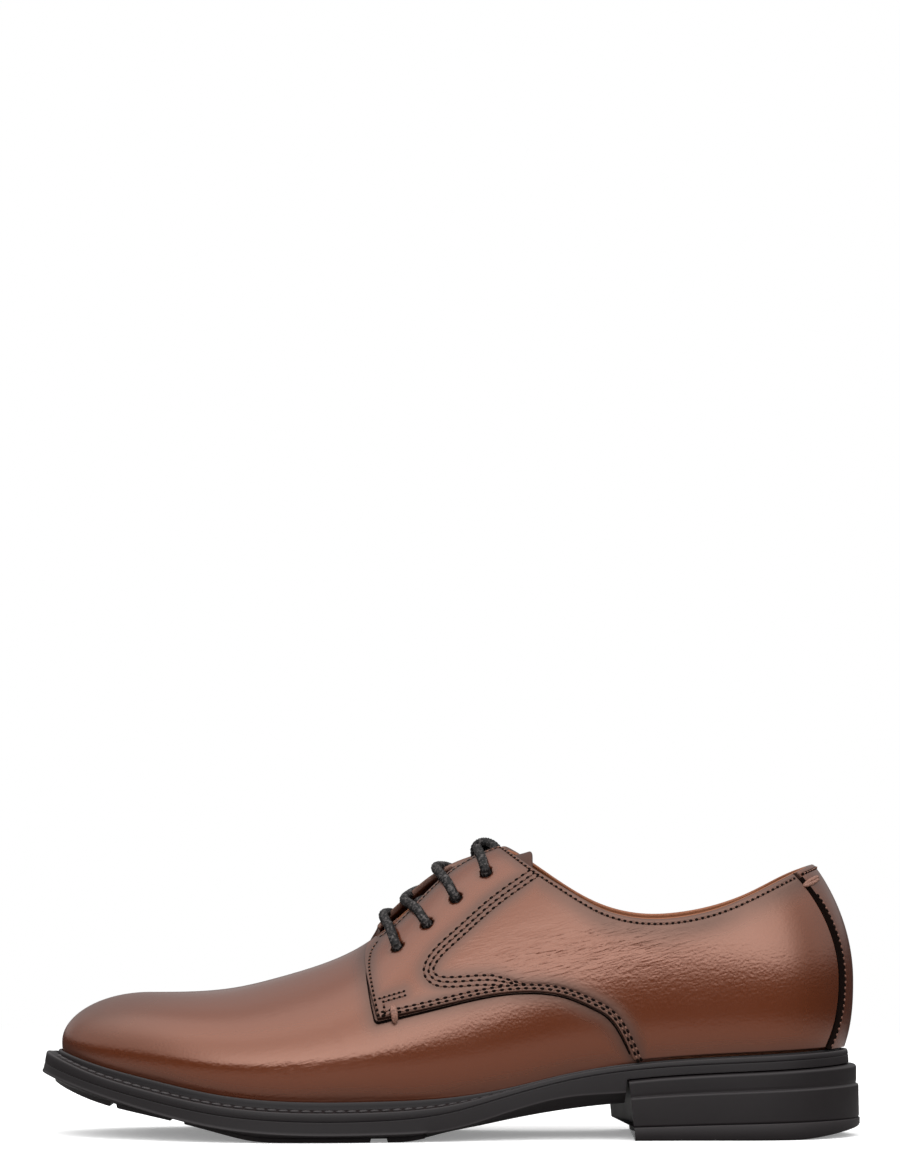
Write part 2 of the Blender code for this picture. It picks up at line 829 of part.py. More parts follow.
def outsole_profile(side, station, kind):
    """Side of the outsole from the plateau inside the welt down to the ground face."""
    out = float(welt_overhang[side](station))
    level = float(feather_height(station))
    shelf = level - float(welt_depth(station)) - SEAT_GAP
    flare = out + float(outsole_flare(station))
    inner = -WELT_INNER - SEAT_GAP
    fall = level - level_inside(side, station, inner)
    plateau = level - fall - float(upper_sink(station)) - 2 * SEAT_GAP
    depth = HEEL_SEAT_DEPTH if kind == "seat" else float(outsole_depth(station))
    rib = level - depth
    reach = station + (out - TREAD_INSET) * FEATHER.at(side, station)[1][0]
    ground = float(ground_height(reach))
    shape = [
        (inner, plateau),
        (inner, shelf - fall),
        (out - 0.3, shelf),
        (out + 0.05, shelf - 0.4),
    ]
    if kind == "seat":
        shape += [(flare, rib + 0.5), (flare, rib + 0.4), (flare, rib)]
        shape += [(out - 3, rib), (out - 5, rib)]
    elif kind == "waist":
        inside = out - WAIST_BEVEL
        shape += [
            (flare, rib + 0.6),
            (flare, rib),
            (flare - 0.6, rib - 0.4),
            (inside + 1.4, ground + 0.5),
            (inside, ground),
        ]
    else:
        inside = out - TREAD_INSET
        floor = ground + (TREAD_DEPTH if in_groove(station) else 0.0)
        edge = max(floor + 0.1, min(ground + TREAD_DEPTH + 0.2, rib - 0.4))
        shape += [
            (flare, rib + 1.0),
            (flare + SIDE_RIB, rib + 0.6),
            (flare + SIDE_RIB, rib),
            (inside, edge),
            (inside - 0.4, floor),
        ]
    return [on_edge(side, station, o, h) for o, h in shape]


def make_outsole():
    walls = [m + k * w / 2 + d for m, w in TREAD_GROOVES for k in (-1, 1) for d in (-0.2, 0.2)]
    bars = [285, 279, 264, 256, 241, 234, 226, 217, 208, 198, 188, 168]
    forepart = np.r_[fan(270, FEATHER.toe, 8), TREAD_STARTS + 0.3, bars, walls]
    waist = np.r_[154, 148, 140, 131, 121, 111, 101, 92, BREAST_LATERAL + 0.4]
    seat = np.r_[BREAST_LATERAL, 74, 62, fan(50, FEATHER.heel, 9)]
    rows = []
    for station in np.sort(np.r_[forepart, TREAD_STARTS - 0.3, waist, seat])[::-1]:
        kind = "forepart" if station > TREAD_STARTS else "waist"
        kind = "seat" if station <= BREAST_LATERAL else kind
        other = station + breast_skew(station)
        lateral = outsole_profile(LATERAL, station, kind)
        medial = outsole_profile(MEDIAL, other, kind)
        rows.append(lateral + medial[::-1])
    return loft("outsole", rows, SOLE_BLACK, 0.5)


def heel_overhang(station):
    share = np.clip((HEEL_BACK_STARTS - station) / (HEEL_BACK_STARTS - FEATHER.heel), 0, 1)
    return HEEL_SIDE_OVERHANG + (HEEL_BACK_OVERHANG - HEEL_SIDE_OVERHANG) * share ** 2


def heel_seat_height(station):
    return float(feather_height(station)) - HEEL_SEAT_DEPTH - HEEL_GAP


def lift_top(station):
    share = (BREAST_LATERAL - station) / BREAST_LATERAL
    return TOP_LIFT_FRONT + (TOP_LIFT_BACK - TOP_LIFT_FRONT) * share


def heel_stations():
    return np.r_[BREAST_LATERAL - HEEL_GAP, 79, 70, 60, fan(50, FEATHER.heel, 10)]


def heel_ring(step, height_at, skew=1.0, breast_points=5):
    """Closed ring of the heel at a step out: round the back, then along the hollow breast."""
    sides = heel_stations()
    ring = []
    for side, stations in ((LATERAL, sides), (MEDIAL, sides[-2::-1])):
        for station in stations:
            place = station + (skew * breast_skew(station) if side == MEDIAL else 0.0)
            out = float(heel_overhang(place)) + step
            ring.append(on_edge(side, place, out, height_at(place)))
    start, end = ring[-1], ring[0]
    for i in range(1, breast_points + 1):
        share = i / (breast_points + 1)
        point = start + (end - start) * share
        point[0] -= BREAST_HOLLOW * math.sin(math.pi * share)
        ring.append(point)
    return ring


def heel_piece(name, rows, roughness):
    """Solid through heel rings, closed above and below by strips from side to side."""
    built = bmesh.new()
    verts = new_verts(built, rows)
    for first, second in zip(verts, verts[1:]):
        bridge(built, first, second, closed=True)
    back = len(heel_stations()) - 1
    for ring in (verts[0], verts[-1]):
        for i in range(back - 1):
            built.faces.new((ring[i], ring[i + 1], ring[2 * back - i - 1], ring[2 * back - i]))
        built.faces.new((ring[back - 1], ring[back], ring[back + 1]))
        built.faces.new([ring[0], *ring[2 * back:]])
    return object_from_bmesh(name, built, SOLE_BLACK, roughness)


def make_heel():
    rows = []
    for share, step in HEEL_LAYERS:
        rows.append(heel_ring(
            step,
            lambda s, f=share: heel_seat_height(s) * (1 - f) + (lift_top(s) + SEAT_GAP) * f,
        ))
    return heel_piece("heel", rows, 0.5)


def roll(station):
    back = max(0.0, (HEEL_ROLL_STARTS - station) / (HEEL_ROLL_STARTS - FEATHER.heel))
    return HEEL_ROLL_RISE * back ** 1.6


def make_top_lift():
    rows = [
        heel_ring(0.1, lift_top, LIFT_SKEW),
        heel_ring(0.25, lambda s: lift_top(s) - 0.5, LIFT_SKEW),
        heel_ring(0.25, lambda s: roll(s) + 0.7, LIFT_SKEW),
        heel_ring(-0.6, roll, LIFT_SKEW),
    ]
    return heel_piece("top_lift", rows, 0.6)


def make_insole():
    stations = np.r_[fan(232, FEATHER.toe, 9), np.arange(216, 60, -14), fan(52, FEATHER.heel, 8)]
    inset = -(WALL + 0.5)
    rows = []
    for station in np.sort(stations)[::-1]:
        sides = []
        for side in (LATERAL, MEDIAL):
            bottom = level_inside(side, station, inset) - float(upper_sink(station))
            top = bottom + INSOLE_THICKNESS
            sides.append([on_edge(side, station, inset, top), on_edge(side, station, inset, bottom)])
        rows.append(sides[0] + sides[1][::-1])
    return loft("insole", rows, LINING_BROWN, 0.7)


# Lace

def hole_places(side):
    """(rib, t) of the lace holes of one side."""
    places = []
    for station, height, _, _ in LACE_HOLES:
        rib, t = from_side(LATERAL, station, height)
        if side == MEDIAL:
            edge = last_point(LATERAL, rib, top_of_wall(LATERAL, rib, rounded=False))
            away = np.linalg.norm(last_point(LATERAL, rib, t) - edge)
            ts = np.linspace(top_of_wall(MEDIAL, rib, rounded=False), 1, 121)
            line = last_point(MEDIAL, np.full_like(ts, rib), ts)
            t = float(np.interp(away, np.linalg.norm(line - line[0], axis=1), ts))
        places.append((rib, t))
    return places


def make_hole_cutters(sides=8):
    cutters = []
    for side, name in ((LATERAL, "lateral"), (MEDIAL, "medial")):
        for i, (rib, t) in enumerate(hole_places(side)):
            centre = last_point(side, rib, t)
            axis = last_normal(side, rib, t)
            across = np.cross(axis, [1.0, 0.0, 0.0])
            across /= np.linalg.norm(across)
            along = np.cross(axis, across)
            rows = []
            for reach in (-5.0, 5.0):
                ring = []
                for k in range(sides):
                    turn = 2 * math.pi * k / sides
                    spoke = across * math.cos(turn) + along * math.sin(turn)
                    ring.append(centre + axis * reach + spoke * LACE_HOLE_DIAMETER / 2)
                rows.append(ring)
            cutter = loft("hole_%s_%d" % (name, i + 1), rows, LACE_BLACK, 0.5, capped=True)
            cutter.hide_render = True
            cutter.display_type = "WIRE"
            cutters.append(cutter)
    return cutters


def tube(name, path, segments, sides=6):
    """Round cord along a smooth path."""
    path = np.array(path)
    steps = np.r_[0, np.cumsum(np.linalg.norm(np.diff(path, axis=0), axis=1))]
    places = np.linspace(0, steps[-1], segments + 1)
    line = np.column_stack([spline(steps, path[:, i])(places) for i in range(3)])
    tangent = np.gradient(line, axis=0)
    tangent /= np.linalg.norm(tangent, axis=1)[:, None]
    side = np.cross(tangent[0], [1.0, 0.0, 0.2])
    rows = []
    for point, ahead in zip(line, tangent):
        side = side - ahead * np.dot(side, ahead)
        side /= np.linalg.norm(side)
        other = np.cross(ahead, side)
        ring = []
        for k in range(sides):
            turn = 2 * math.pi * k / sides
            ring.append(point + (side * math.cos(turn) + other * math.sin(turn)) * LACE_DIAMETER / 2)
        rows.append(ring)
    return loft(name, rows, LACE_BLACK, 0.6, capped=True)


def bar_path(index):
    """Path of a lace bar out of the lateral hole, over the throat and into the medial one."""
    lift, lean = LACE_HOLES[index][2:]
    halves = []
    for side in (LATERAL, MEDIAL):
        rib, t = hole_places(side)[index]
        edge = top_of_wall(side, rib, rounded=False)
        half = []
        for share, height, lifted in BAR_SHAPE:
            place = rib + lean * share
            half.append(off_last(side, place, t + (edge - t) * share, height + lift * lifted))
        halves.append(half)
    rib = hole_places(LATERAL)[index][0] + lean * CROWN_LEAN
    crown = off_last(LATERAL, rib, 2.0, CROWN_HEIGHT + lift)
    return halves[0] + [crown] + halves[1][::-1]


def make_laces():
    for index in range(len(LACE_HOLES)):
        bar = tube("lace_bar_%d" % (index + 1), bar_path(index), 18)
    tuck = tube("lace_tuck", LACE_TUCK, 10)
    tuck.hide_render = True
    tuck.display_type = "WIRE"
    join = bar.modifiers.new("tuck", "BOOLEAN")
    join.operation = "UNION"
    join.solver = "EXACT"
    join.object = tuck


def main():
    for old in list(bpy.data.objects):
        bpy.data.objects.remove(old, do_unlink=True)
    make_outsole()
    make_welt()
    make_heel()
    make_top_lift()
    make_insole()
    upper = make_upper()
    quarters = [make_quarter("quarter_lateral", LATERAL), make_quarter("quarter_medial", MEDIAL)]
    make_back_strip()
    make_tongue()
    make_laces()
    cutters = make_hole_cutters()
    cut(upper, cutters)
    cut(quarters[0], [c for c in cutters if "lateral" in c.name])
    cut(quarters[1], [c for c in cutters if "medial" in c.name])


main()
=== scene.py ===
# Derby lace-up shoe for the left foot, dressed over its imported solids.
# Sizes are millimetres on the last (station from the heel, across, height) until toFrame makes metres.
import math

import bmesh
import bpy
import numpy as np
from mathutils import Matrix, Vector, kdtree


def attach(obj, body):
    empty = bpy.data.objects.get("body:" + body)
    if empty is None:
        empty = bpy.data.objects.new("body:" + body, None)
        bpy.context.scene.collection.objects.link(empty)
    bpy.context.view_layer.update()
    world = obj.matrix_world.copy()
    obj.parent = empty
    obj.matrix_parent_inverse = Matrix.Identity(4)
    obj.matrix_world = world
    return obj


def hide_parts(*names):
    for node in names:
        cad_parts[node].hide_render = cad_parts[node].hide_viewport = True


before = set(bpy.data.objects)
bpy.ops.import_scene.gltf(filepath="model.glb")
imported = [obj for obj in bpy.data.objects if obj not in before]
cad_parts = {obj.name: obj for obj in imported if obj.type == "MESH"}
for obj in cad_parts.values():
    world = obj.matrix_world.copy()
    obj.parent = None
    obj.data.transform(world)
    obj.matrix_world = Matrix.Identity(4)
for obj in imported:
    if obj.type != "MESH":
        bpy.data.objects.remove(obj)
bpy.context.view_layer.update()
print("frame:", len(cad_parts), "solids loaded")

lateral, medial = -1, 1
sides = {lateral: "lateral", medial: "medial"}

last = {
    "length": 302.0,
    "midAcross": -0.5,
    "feather": [      # station, across: where the upper meets the sole, from above
        (294.6, 5.0), (286.5, -13.0), (268.0, -26.5), (245.0, -38.0), (217.0, -45.4),
        (190.0, -45.4), (150.0, -38.2), (100.0, -31.6), (55.0, -29.4), (24.0, -24.7),
        (8.4, 0.0), (24.0, 24.7), (55.0, 28.4), (100.0, 26.4), (145.0, 27.2),
        (185.0, 38.5), (217.0, 45.0), (245.0, 43.0), (268.0, 36.2), (286.5, 22.6),
    ],
    "featherHeight": [      # station, height
        (8.4, 32.2), (36.0, 30.6), (80.0, 28.0), (108.0, 24.0), (130.0, 18.9), (150.0, 15.7),
        (180.0, 14.3), (214.0, 14.7), (236.0, 17.0), (258.0, 21.4), (280.0, 26.6), (294.6, 31.2),
    ],
    "ridge": [      # station, across, height
        (50.0, 0.5, 118.0), (75.0, 1.0, 117.0), (105.0, 1.5, 112.8), (130.0, 2.0, 106.2),
        (144.0, 2.5, 100.4), (157.0, 3.0, 91.8), (170.0, 3.5, 80.2), (180.0, 3.5, 71.9),
        (197.0, 4.0, 63.2), (214.0, 4.5, 57.9), (230.0, 5.0, 54.1), (246.0, 5.5, 52.5),
        (262.0, 6.0, 52.3),
    ],
    "toeFanFrom": 215.0,
    "heelFanFrom": 95.0,
    "footOut": 0.7,
    "footUp": 0.28,
    "bellyDown": 0.45,
    "sections": [      # station, lateral out and rise, medial out and rise, fullness at side and ridge
        (8.4, 3.7, 25.0, 3.7, 25.0, 0.54, 0.43),
        (30.0, 2.8, 24.0, 2.8, 24.0, 0.56, 0.50),
        (60.0, 2.4, 23.0, 3.0, 24.0, 0.60, 0.58),
        (100.0, 3.0, 22.0, 5.0, 26.0, 0.60, 0.52),
        (140.0, 3.4, 19.0, 5.4, 24.0, 0.56, 0.40),
        (175.0, 3.4, 16.0, 4.4, 18.0, 0.50, 0.38),
        (205.0, 3.0, 13.0, 3.0, 13.0, 0.48, 0.44),
        (240.0, 2.2, 10.0, 2.2, 10.0, 0.52, 0.54),
        (270.0, 1.2, 7.0, 1.2, 7.0, 0.58, 0.60),
        (294.6, 0.2, 3.0, 0.2, 3.0, 0.50, 0.60),
    ],
    "collar": [      # station, lateral height, medial height
        (12.0, 100.6, 100.6), (22.4, 97.0, 96.8), (37.0, 90.2, 89.2), (51.6, 83.8, 83.7),
        (66.2, 80.2, 80.9), (77.2, 79.4, 80.5), (88.3, 80.6, 82.3), (95.5, 82.8, 84.8),
        (110.0, 90.8, 93.0), (122.8, 98.9, 101.5), (129.0, 103.2, 104.8), (133.0, 105.4, 106.4),
        (137.0, 106.4, 107.6),
    ],
    "facingGap": [      # station, lateral, medial: from the ridge to the facing edges
        (130.0, 4.6, 4.5), (141.0, 5.0, 3.6), (150.0, 6.4, 1.6), (156.0, 9.2, 1.2), (162.0, 11.8, 1.0),
        (169.0, 14.2, 0.9), (175.0, 14.2, 0.9), (185.0, 11.0, 0.9),
    ],
    "cornerBlend": 45.0,
    "throat": 178.5,
    "throatCorner": 5.0,
}


# curves through short tables

def smoothThrough(xs, ys):
    xs = np.asarray(xs, float)
    ys = np.asarray(ys, float)
    count = len(xs)
    gaps = np.diff(xs)
    system = np.eye(count)
    right = np.zeros(count)
    for i in range(1, count - 1):
        system[i, i - 1:i + 2] = gaps[i - 1], 2 * (gaps[i - 1] + gaps[i]), gaps[i]
        right[i] = 6 * ((ys[i + 1] - ys[i]) / gaps[i] - (ys[i] - ys[i - 1]) / gaps[i - 1])
    bend = np.linalg.solve(system, right)

    def value(x):
        x = np.clip(np.asarray(x, float), xs[0], xs[-1])
        i = np.clip(np.searchsorted(xs, x) - 1, 0, count - 2)
        low, high, width = xs[i + 1] - x, x - xs[i], gaps[i]
        return (
            (bend[i] * low ** 3 + bend[i + 1] * high ** 3) / (6 * width)
            + (ys[i] / width - bend[i] * width / 6) * low
            + (ys[i + 1] / width - bend[i + 1] * width / 6) * high
        )

    return value


def tableColumn(table, index):
    rows = sorted(table)
    return smoothThrough([row[0] for row in rows], [row[index] for row in rows])


def walked(points):      # distance along a row of points
    return np.r_[0, np.cumsum(np.linalg.norm(np.diff(points, axis=0), axis=1))]


def smoothLine(points, spacing):      # evenly spaced points of a smooth open line
    points = np.array(points, float)
    steps = walked(points)
    places = np.linspace(0, steps[-1], max(2, int(steps[-1] / spacing) + 1))
    return np.column_stack([smoothThrough(steps, points[:, i])(places) for i in range(points.shape[1])])


def planHalves(points, samples=2400):      # a closed outline as two sides, each read by station
    loop = np.array(list(points) * 3 + [points[0]], float)
    steps = walked(loop)
    along = np.linspace(steps[len(points)], steps[2 * len(points)], samples, endpoint=False)
    curve = np.column_stack([smoothThrough(steps, loop[:, i])(along) for i in (0, 1)])
    curve = np.roll(curve, -int(np.argmax(curve[:, 0])), axis=0)
    tangent = np.roll(curve, -1, axis=0) - np.roll(curve, 1, axis=0)
    tangent /= np.linalg.norm(tangent, axis=1)[:, None]
    outward = np.column_stack([-tangent[:, 1], tangent[:, 0]])
    heel = int(np.argmin(curve[:, 0]))
    halves = {}
    for side, order in ((lateral, np.arange(heel, -1, -1)), (medial, np.r_[np.arange(heel, samples), 0])):
        order = order[np.r_[True, np.diff(curve[order, 0]) > 0]]
        halves[side] = (curve[order], outward[order])
    return halves, float(curve[0, 0]), float(curve[heel, 0])


featherHalves, toeEnd, heelEnd = planHalves(last["feather"])
featherHeight = tableColumn(last["featherHeight"], 1)
ridgeAcross = tableColumn(last["ridge"], 1)
ridgeHeight = tableColumn(last["ridge"], 2)
sectionOut = {lateral: tableColumn(last["sections"], 1), medial: tableColumn(last["sections"], 3)}
sectionRise = {lateral: tableColumn(last["sections"], 2), medial: tableColumn(last["sections"], 4)}
sideFullness = tableColumn(last["sections"], 5)
ridgeFullness = tableColumn(last["sections"], 6)
collarHeight = {lateral: tableColumn(last["collar"], 1), medial: tableColumn(last["collar"], 2)}
facingGap = {lateral: tableColumn(last["facingGap"], 1), medial: tableColumn(last["facingGap"], 2)}


def featherAt(side, station):
    points, outward = featherHalves[side]
    place = [np.interp(station, points[:, 0], points[:, i]) for i in (0, 1)]
    facing = [np.interp(station, points[:, 0], outward[:, i]) for i in (0, 1)]
    size = np.hypot(*facing)
    return np.stack(place, -1), np.stack([facing[0] / size, facing[1] / size], -1)


# the last: ribs run from the feather line (t 0) past the widest line (t 1) to the ridge (t 2)

def ridgeStation(station):
    heelTop, toeTop = last["ridge"][0][0], last["ridge"][-1][0]
    toePull = (toeEnd - toeTop) / (toeEnd - last["toeFanFrom"]) ** 2
    heelPull = (heelTop - heelEnd) / (last["heelFanFrom"] - heelEnd) ** 2
    pastToe = np.maximum(0, station - last["toeFanFrom"])
    pastHeel = np.maximum(0, last["heelFanFrom"] - station)
    return station - toePull * pastToe ** 2 + heelPull * pastHeel ** 2


def bezier(points, t):
    share = 1 - t
    weights = (share ** 3, 3 * t * share ** 2, 3 * t ** 2 * share, t ** 3)
    return sum(w[..., None] * p for w, p in zip(weights, points))


def lastPoint(side, station, t):
    station, t = np.broadcast_arrays(np.asarray(station, float), np.asarray(t, float))
    base, outward = featherAt(side, station)
    low = featherHeight(base[..., 0])
    out = sectionOut[side](station)[..., None]
    rise = sectionRise[side](station)
    foot = np.concatenate([base, low[..., None]], -1)
    belly = np.concatenate([base + outward * out, (low + rise)[..., None]], -1)
    top = ridgeStation(station)
    peak = np.stack([top, ridgeAcross(top), ridgeHeight(top)], -1)
    slope = ridgeHeight(top + 0.5) - ridgeHeight(top - 0.5)
    up = np.zeros_like(foot)
    up[..., 2] = 1
    footHandle = np.concatenate([outward * out * last["footOut"], rise[..., None] * last["footUp"]], -1)
    lower = bezier(
        (foot, foot + footHandle, belly - up * rise[..., None] * last["bellyDown"], belly),
        np.clip(t, 0, 1),
    )
    sideHandle = sideFullness(station) * (peak[..., 2] - belly[..., 2])
    reach = ridgeFullness(station)[..., None] * (belly[..., :2] - peak[..., :2])
    ridgeHandle = np.concatenate([reach, (slope * reach[..., 0])[..., None]], -1)
    upper = bezier(
        (belly, belly + up * sideHandle[..., None], peak + ridgeHandle, peak),
        np.clip(t - 1, 0, 1),
    )
    return np.where((t < 1)[..., None], lower, upper)


def aroundEnds(side, station, t):      # carries on to the other side past toe and heel
    folded = np.where(station > toeEnd, 2 * toeEnd - station, station)
    folded = np.where(folded < heelEnd, 2 * heelEnd - folded, folded)
    beyond = (folded != station)[..., None]
    return np.where(beyond, lastPoint(-side, folded, t), lastPoint(side, folded, t))


def lastNormal(side, station, t):
    station, t = np.broadcast_arrays(np.asarray(station, float), np.asarray(t, float))
    step, turn = 0.4, 0.004
    inner = np.clip(t, turn, 2 - turn)
    along = aroundEnds(side, station + step, inner) - aroundEnds(side, station - step, inner)
    up = lastPoint(side, station, inner + turn) - lastPoint(side, station, inner - turn)
    normal = np.cross(along, up) * -side
    normal /= np.linalg.norm(normal, axis=-1)[..., None]
    top = ridgeStation(station)
    slope = ridgeHeight(top + 0.5) - ridgeHeight(top - 0.5)
    onRidge = np.stack([-slope, np.zeros_like(slope), np.ones_like(slope)], -1)
    onRidge /= np.linalg.norm(onRidge, axis=-1)[..., None]
    return np.where((t > 1.999)[..., None], onRidge, normal)


def offLast(side, station, t, distance):
    distance = np.asarray(distance, float)
    return lastPoint(side, station, t) + lastNormal(side, station, t) * distance[..., None]


def tAtHeight(side, rib, height):
    rib, height = np.broadcast_arrays(np.asarray(rib, float), np.asarray(height, float))
    t = np.linspace(0, 2, 161)
    heights = np.maximum.accumulate(lastPoint(side, rib.reshape(-1, 1), t[None, :])[..., 2], axis=1)
    found = [np.interp(goal, row, t) for goal, row in zip(height.ravel(), heights)]
    return np.array(found).reshape(rib.shape)


def tNearRidge(side, rib, distance):
    rib, distance = np.broadcast_arrays(np.asarray(rib, float), np.asarray(distance, float))
    t = np.linspace(2, 1, 161)
    points = lastPoint(side, rib.reshape(-1, 1), t[None, :])
    away = np.hypot(*np.moveaxis(points[..., :2] - points[:, :1, :2], -1, 0))
    found = [np.interp(goal, row, t) for goal, row in zip(distance.ravel(), away)]
    return np.array(found).reshape(rib.shape)


def fromSide(side, station, height, off=0.0):      # rib and t of what shows at a station and height
    station = np.asarray(station, float)
    height = np.asarray(height, float)
    goal, level = station, height
    rib = station.copy()
    for _ in range(4 if off else 1):
        for _ in range(4):
            t = tAtHeight(side, rib, level)
            rib = np.clip(rib + goal - lastPoint(side, rib, t)[..., 0], heelEnd, toeEnd)
        t = tAtHeight(side, rib, level)
        shift = lastNormal(side, rib, t) * off
        goal, level = station - shift[..., 0], height - shift[..., 2]
    return rib, t


def topOfWall(side, rib, rounded=False, above=0.0):
    rib = np.asarray(rib, float)
    gap = facingGap[side](rib)
    if rounded:
        corner = last["throatCorner"]
        behind = np.maximum(0, last["throat"] - rib)
        gap = gap * np.sqrt(np.maximum(0, corner ** 2 - np.maximum(0, corner - behind) ** 2)) / corner
    end = tNearRidge(side, rib, gap)
    reached = rib.copy()
    for _ in range(8):
        collar = tAtHeight(side, rib, collarHeight[side](reached) + above)
        reached = lastPoint(side, rib, collar)[..., 0]
    soft = last["cornerBlend"]      # rounds the corner between facing and collar
    blended = -np.log(np.exp(-soft * end) + np.exp(-soft * collar)) / soft
    return np.where(reached < last["collar"][-1][0] + 4, blended, end)


def cachedTop(side):
    ribs = np.arange(heelEnd, 192, 0.3)
    return ribs, topOfWall(side, ribs)


wallTops = {side: cachedTop(side) for side in sides}


def topAt(side, rib):      # t of the quarter's top edge, from a table made once
    return np.interp(rib, *wallTops[side])


def wallT(side, rib, low, end, share, samples=121):      # t at a share of the length of each rib
    grid = low[..., None] + (end - low)[..., None] * np.linspace(0, 1, samples)
    points = lastPoint(side, rib[..., None], grid)
    steps = np.linalg.norm(np.diff(points, axis=-2), axis=-1)
    length = np.concatenate([np.zeros_like(steps[..., :1]), np.cumsum(steps, axis=-1)], -1)
    flatLength = length.reshape(-1, samples)
    flatGrid = grid.reshape(-1, samples)
    flatShare = share.reshape(len(flatLength), -1)
    t = [np.interp(s * l[-1], l, g) for s, l, g in zip(flatShare, flatLength, flatGrid)]
    return np.array(t).reshape(share.shape)


def wallLength(side, rib, low, end, samples=121):
    grid = low[:, None] + (end - low)[:, None] * np.linspace(0, 1, samples)
    points = lastPoint(side, rib[:, None], grid)
    return np.linalg.norm(np.diff(points, axis=1), axis=-1).sum(axis=1)


# meshes from arrays

def toFrame(points):
    points = np.asarray(points, float)
    placed = np.empty_like(points)
    placed[..., 0] = last["length"] / 2 - points[..., 0]
    placed[..., 1] = points[..., 1] - last["midAcross"]
    placed[..., 2] = points[..., 2]
    return placed * 0.001


def pieceFrom(name, points, faces, material, masks=None, sharp=None):
    mesh = bpy.data.meshes.new(name)
    mesh.from_pydata(toFrame(points).tolist(), [], faces)
    for mask, values in (masks or {}).items():
        layer = mesh.attributes.new(mask, "FLOAT", "POINT")
        layer.data.foreach_set("value", np.asarray(values, np.float32).ravel())
    mesh.validate()
    shaped = bmesh.new()
    shaped.from_mesh(mesh)
    bmesh.ops.remove_doubles(shaped, verts=shaped.verts, dist=0.000004)
    bmesh.ops.recalc_face_normals(shaped, faces=shaped.faces)
    shaped.to_mesh(mesh)
    shaped.free()
    made = bpy.data.objects.new(name, mesh)
    bpy.context.scene.collection.objects.link(made)
    mesh.shade_smooth()
    if sharp:
        mesh.set_sharp_from_angle(angle=math.radians(sharp))
    mesh.materials.append(material)
    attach(made, "root")
    print("piece", name, len(mesh.polygons), "faces")
    return made


def gridFaces(columns, rows, closedColumns=False, closedRows=False, start=0):
    c = np.arange(columns if closedColumns else columns - 1)
    r = np.arange(rows if closedRows else rows - 1)
    cc, rr = np.meshgrid(c, r, indexing="ij")
    nextC, nextR = (cc + 1) % columns, (rr + 1) % rows
    quads = np.stack([cc * rows + rr, nextC * rows + rr, nextC * rows + nextR, cc * rows + nextR], -1)
    return (quads.reshape(-1, 4) + start).tolist()


def shellPiece(name, outer, inner, material, masks=None, sharp=None, closed=False, joined=None):
    columns, rows = outer.shape[:2]      # a sheet with real thickness: two grids and the rims between
    count = columns * rows
    points = np.concatenate([outer.reshape(-1, 3), inner.reshape(-1, 3)])
    faces = gridFaces(columns, rows, closed) + gridFaces(columns, rows, closed, start=count)
    index = np.arange(count).reshape(columns, rows)
    rims = [index[:, 0], index[:, -1]]
    if closed:
        rims = [np.r_[rim, rim[:1]] for rim in rims]
    else:
        rims += [index[0], index[-1]]
    for k, rim in enumerate(rims):
        for a, b in zip(rim, rim[1:]):
            if joined is not None and k == 1 and joined[a // rows] and joined[b // rows]:
                continue      # the upper rim meets its other half here
            faces.append((int(a), int(b), int(b + count), int(a + count)))
    doubled = {m: np.concatenate([np.ravel(v), np.ravel(v)]) for m, v in (masks or {}).items()}
    return pieceFrom(name, points, faces, material, doubled, sharp)


def tubeRings(path, radius, around, relief=None):
    tangent = np.gradient(path, axis=0)
    tangent /= np.linalg.norm(tangent, axis=1)[:, None]
    side = np.cross(tangent[0], [1.0, 0.1, 0.2])
    turns = np.linspace(0, 2 * math.pi, around, endpoint=False)
    along = walked(path)
    rings = []
    for point, ahead, place in zip(path, tangent, along):
        side = side - ahead * np.dot(side, ahead)
        side /= np.linalg.norm(side)
        other = np.cross(ahead, side)
        r = radius * (1 + (relief(place, turns) if relief else 0))
        ring = point + (np.cos(turns) * r)[:, None] * side + (np.sin(turns) * r)[:, None] * other
        rings.append(ring)
    return np.array(rings)


def tubeFaces(rings, around, start):      # walls and both caps
    faces = gridFaces(rings, around, closedRows=True, start=start)
    faces.append(tuple(range(start, start + around)))
    faces.append(tuple(range(start + (rings - 1) * around, start + rings * around)))
    return faces


def tubesPiece(name, tubes, material):      # many tubes, each an array of rings, as one piece
    points, faces, start = [], [], 0
    for rings in tubes:
        count, around = rings.shape[:2]
        points.append(rings.reshape(-1, 3))
        faces += tubeFaces(count, around, start)
        start += count * around
    return pieceFrom(name, np.concatenate(points), faces, material)


def roundedLine(corners, radius, steps=3):      # a profile with its inner corners rounded
    corners = np.array(corners, float)
    made = [corners[0]]
    for before, corner, after in zip(corners, corners[1:], corners[2:]):
        into, away = before - corner, after - corner
        sizeIn, sizeOut = np.linalg.norm(into), np.linalg.norm(away)
        trimIn, trimOut = min(radius, sizeIn * 0.45), min(radius, sizeOut * 0.45)
        first = corner + into / max(sizeIn, 1e-6) * trimIn
        final = corner + away / max(sizeOut, 1e-6) * trimOut
        for s in np.linspace(0, 1, steps + 1):
            made.append(first * (1 - s) ** 2 + corner * 2 * s * (1 - s) + final * s ** 2)
    made.append(corners[-1])
    return np.array(made)


def fan(start, end, count):      # stations that crowd towards end, as round an arc
    return start + (end - start) * np.sin(np.linspace(0, math.pi / 2, count))


# shader helpers and shared effects

def addNode(tree, kind, inputs=None, **settings):
    node = tree.nodes.new(kind)
    for name, value in settings.items():
        setattr(node, name, value)
    for name, value in (inputs or {}).items():
        if isinstance(value, bpy.types.NodeSocket):
            tree.links.new(value, node.inputs[name])
        else:
            node.inputs[name].default_value = value
    return node


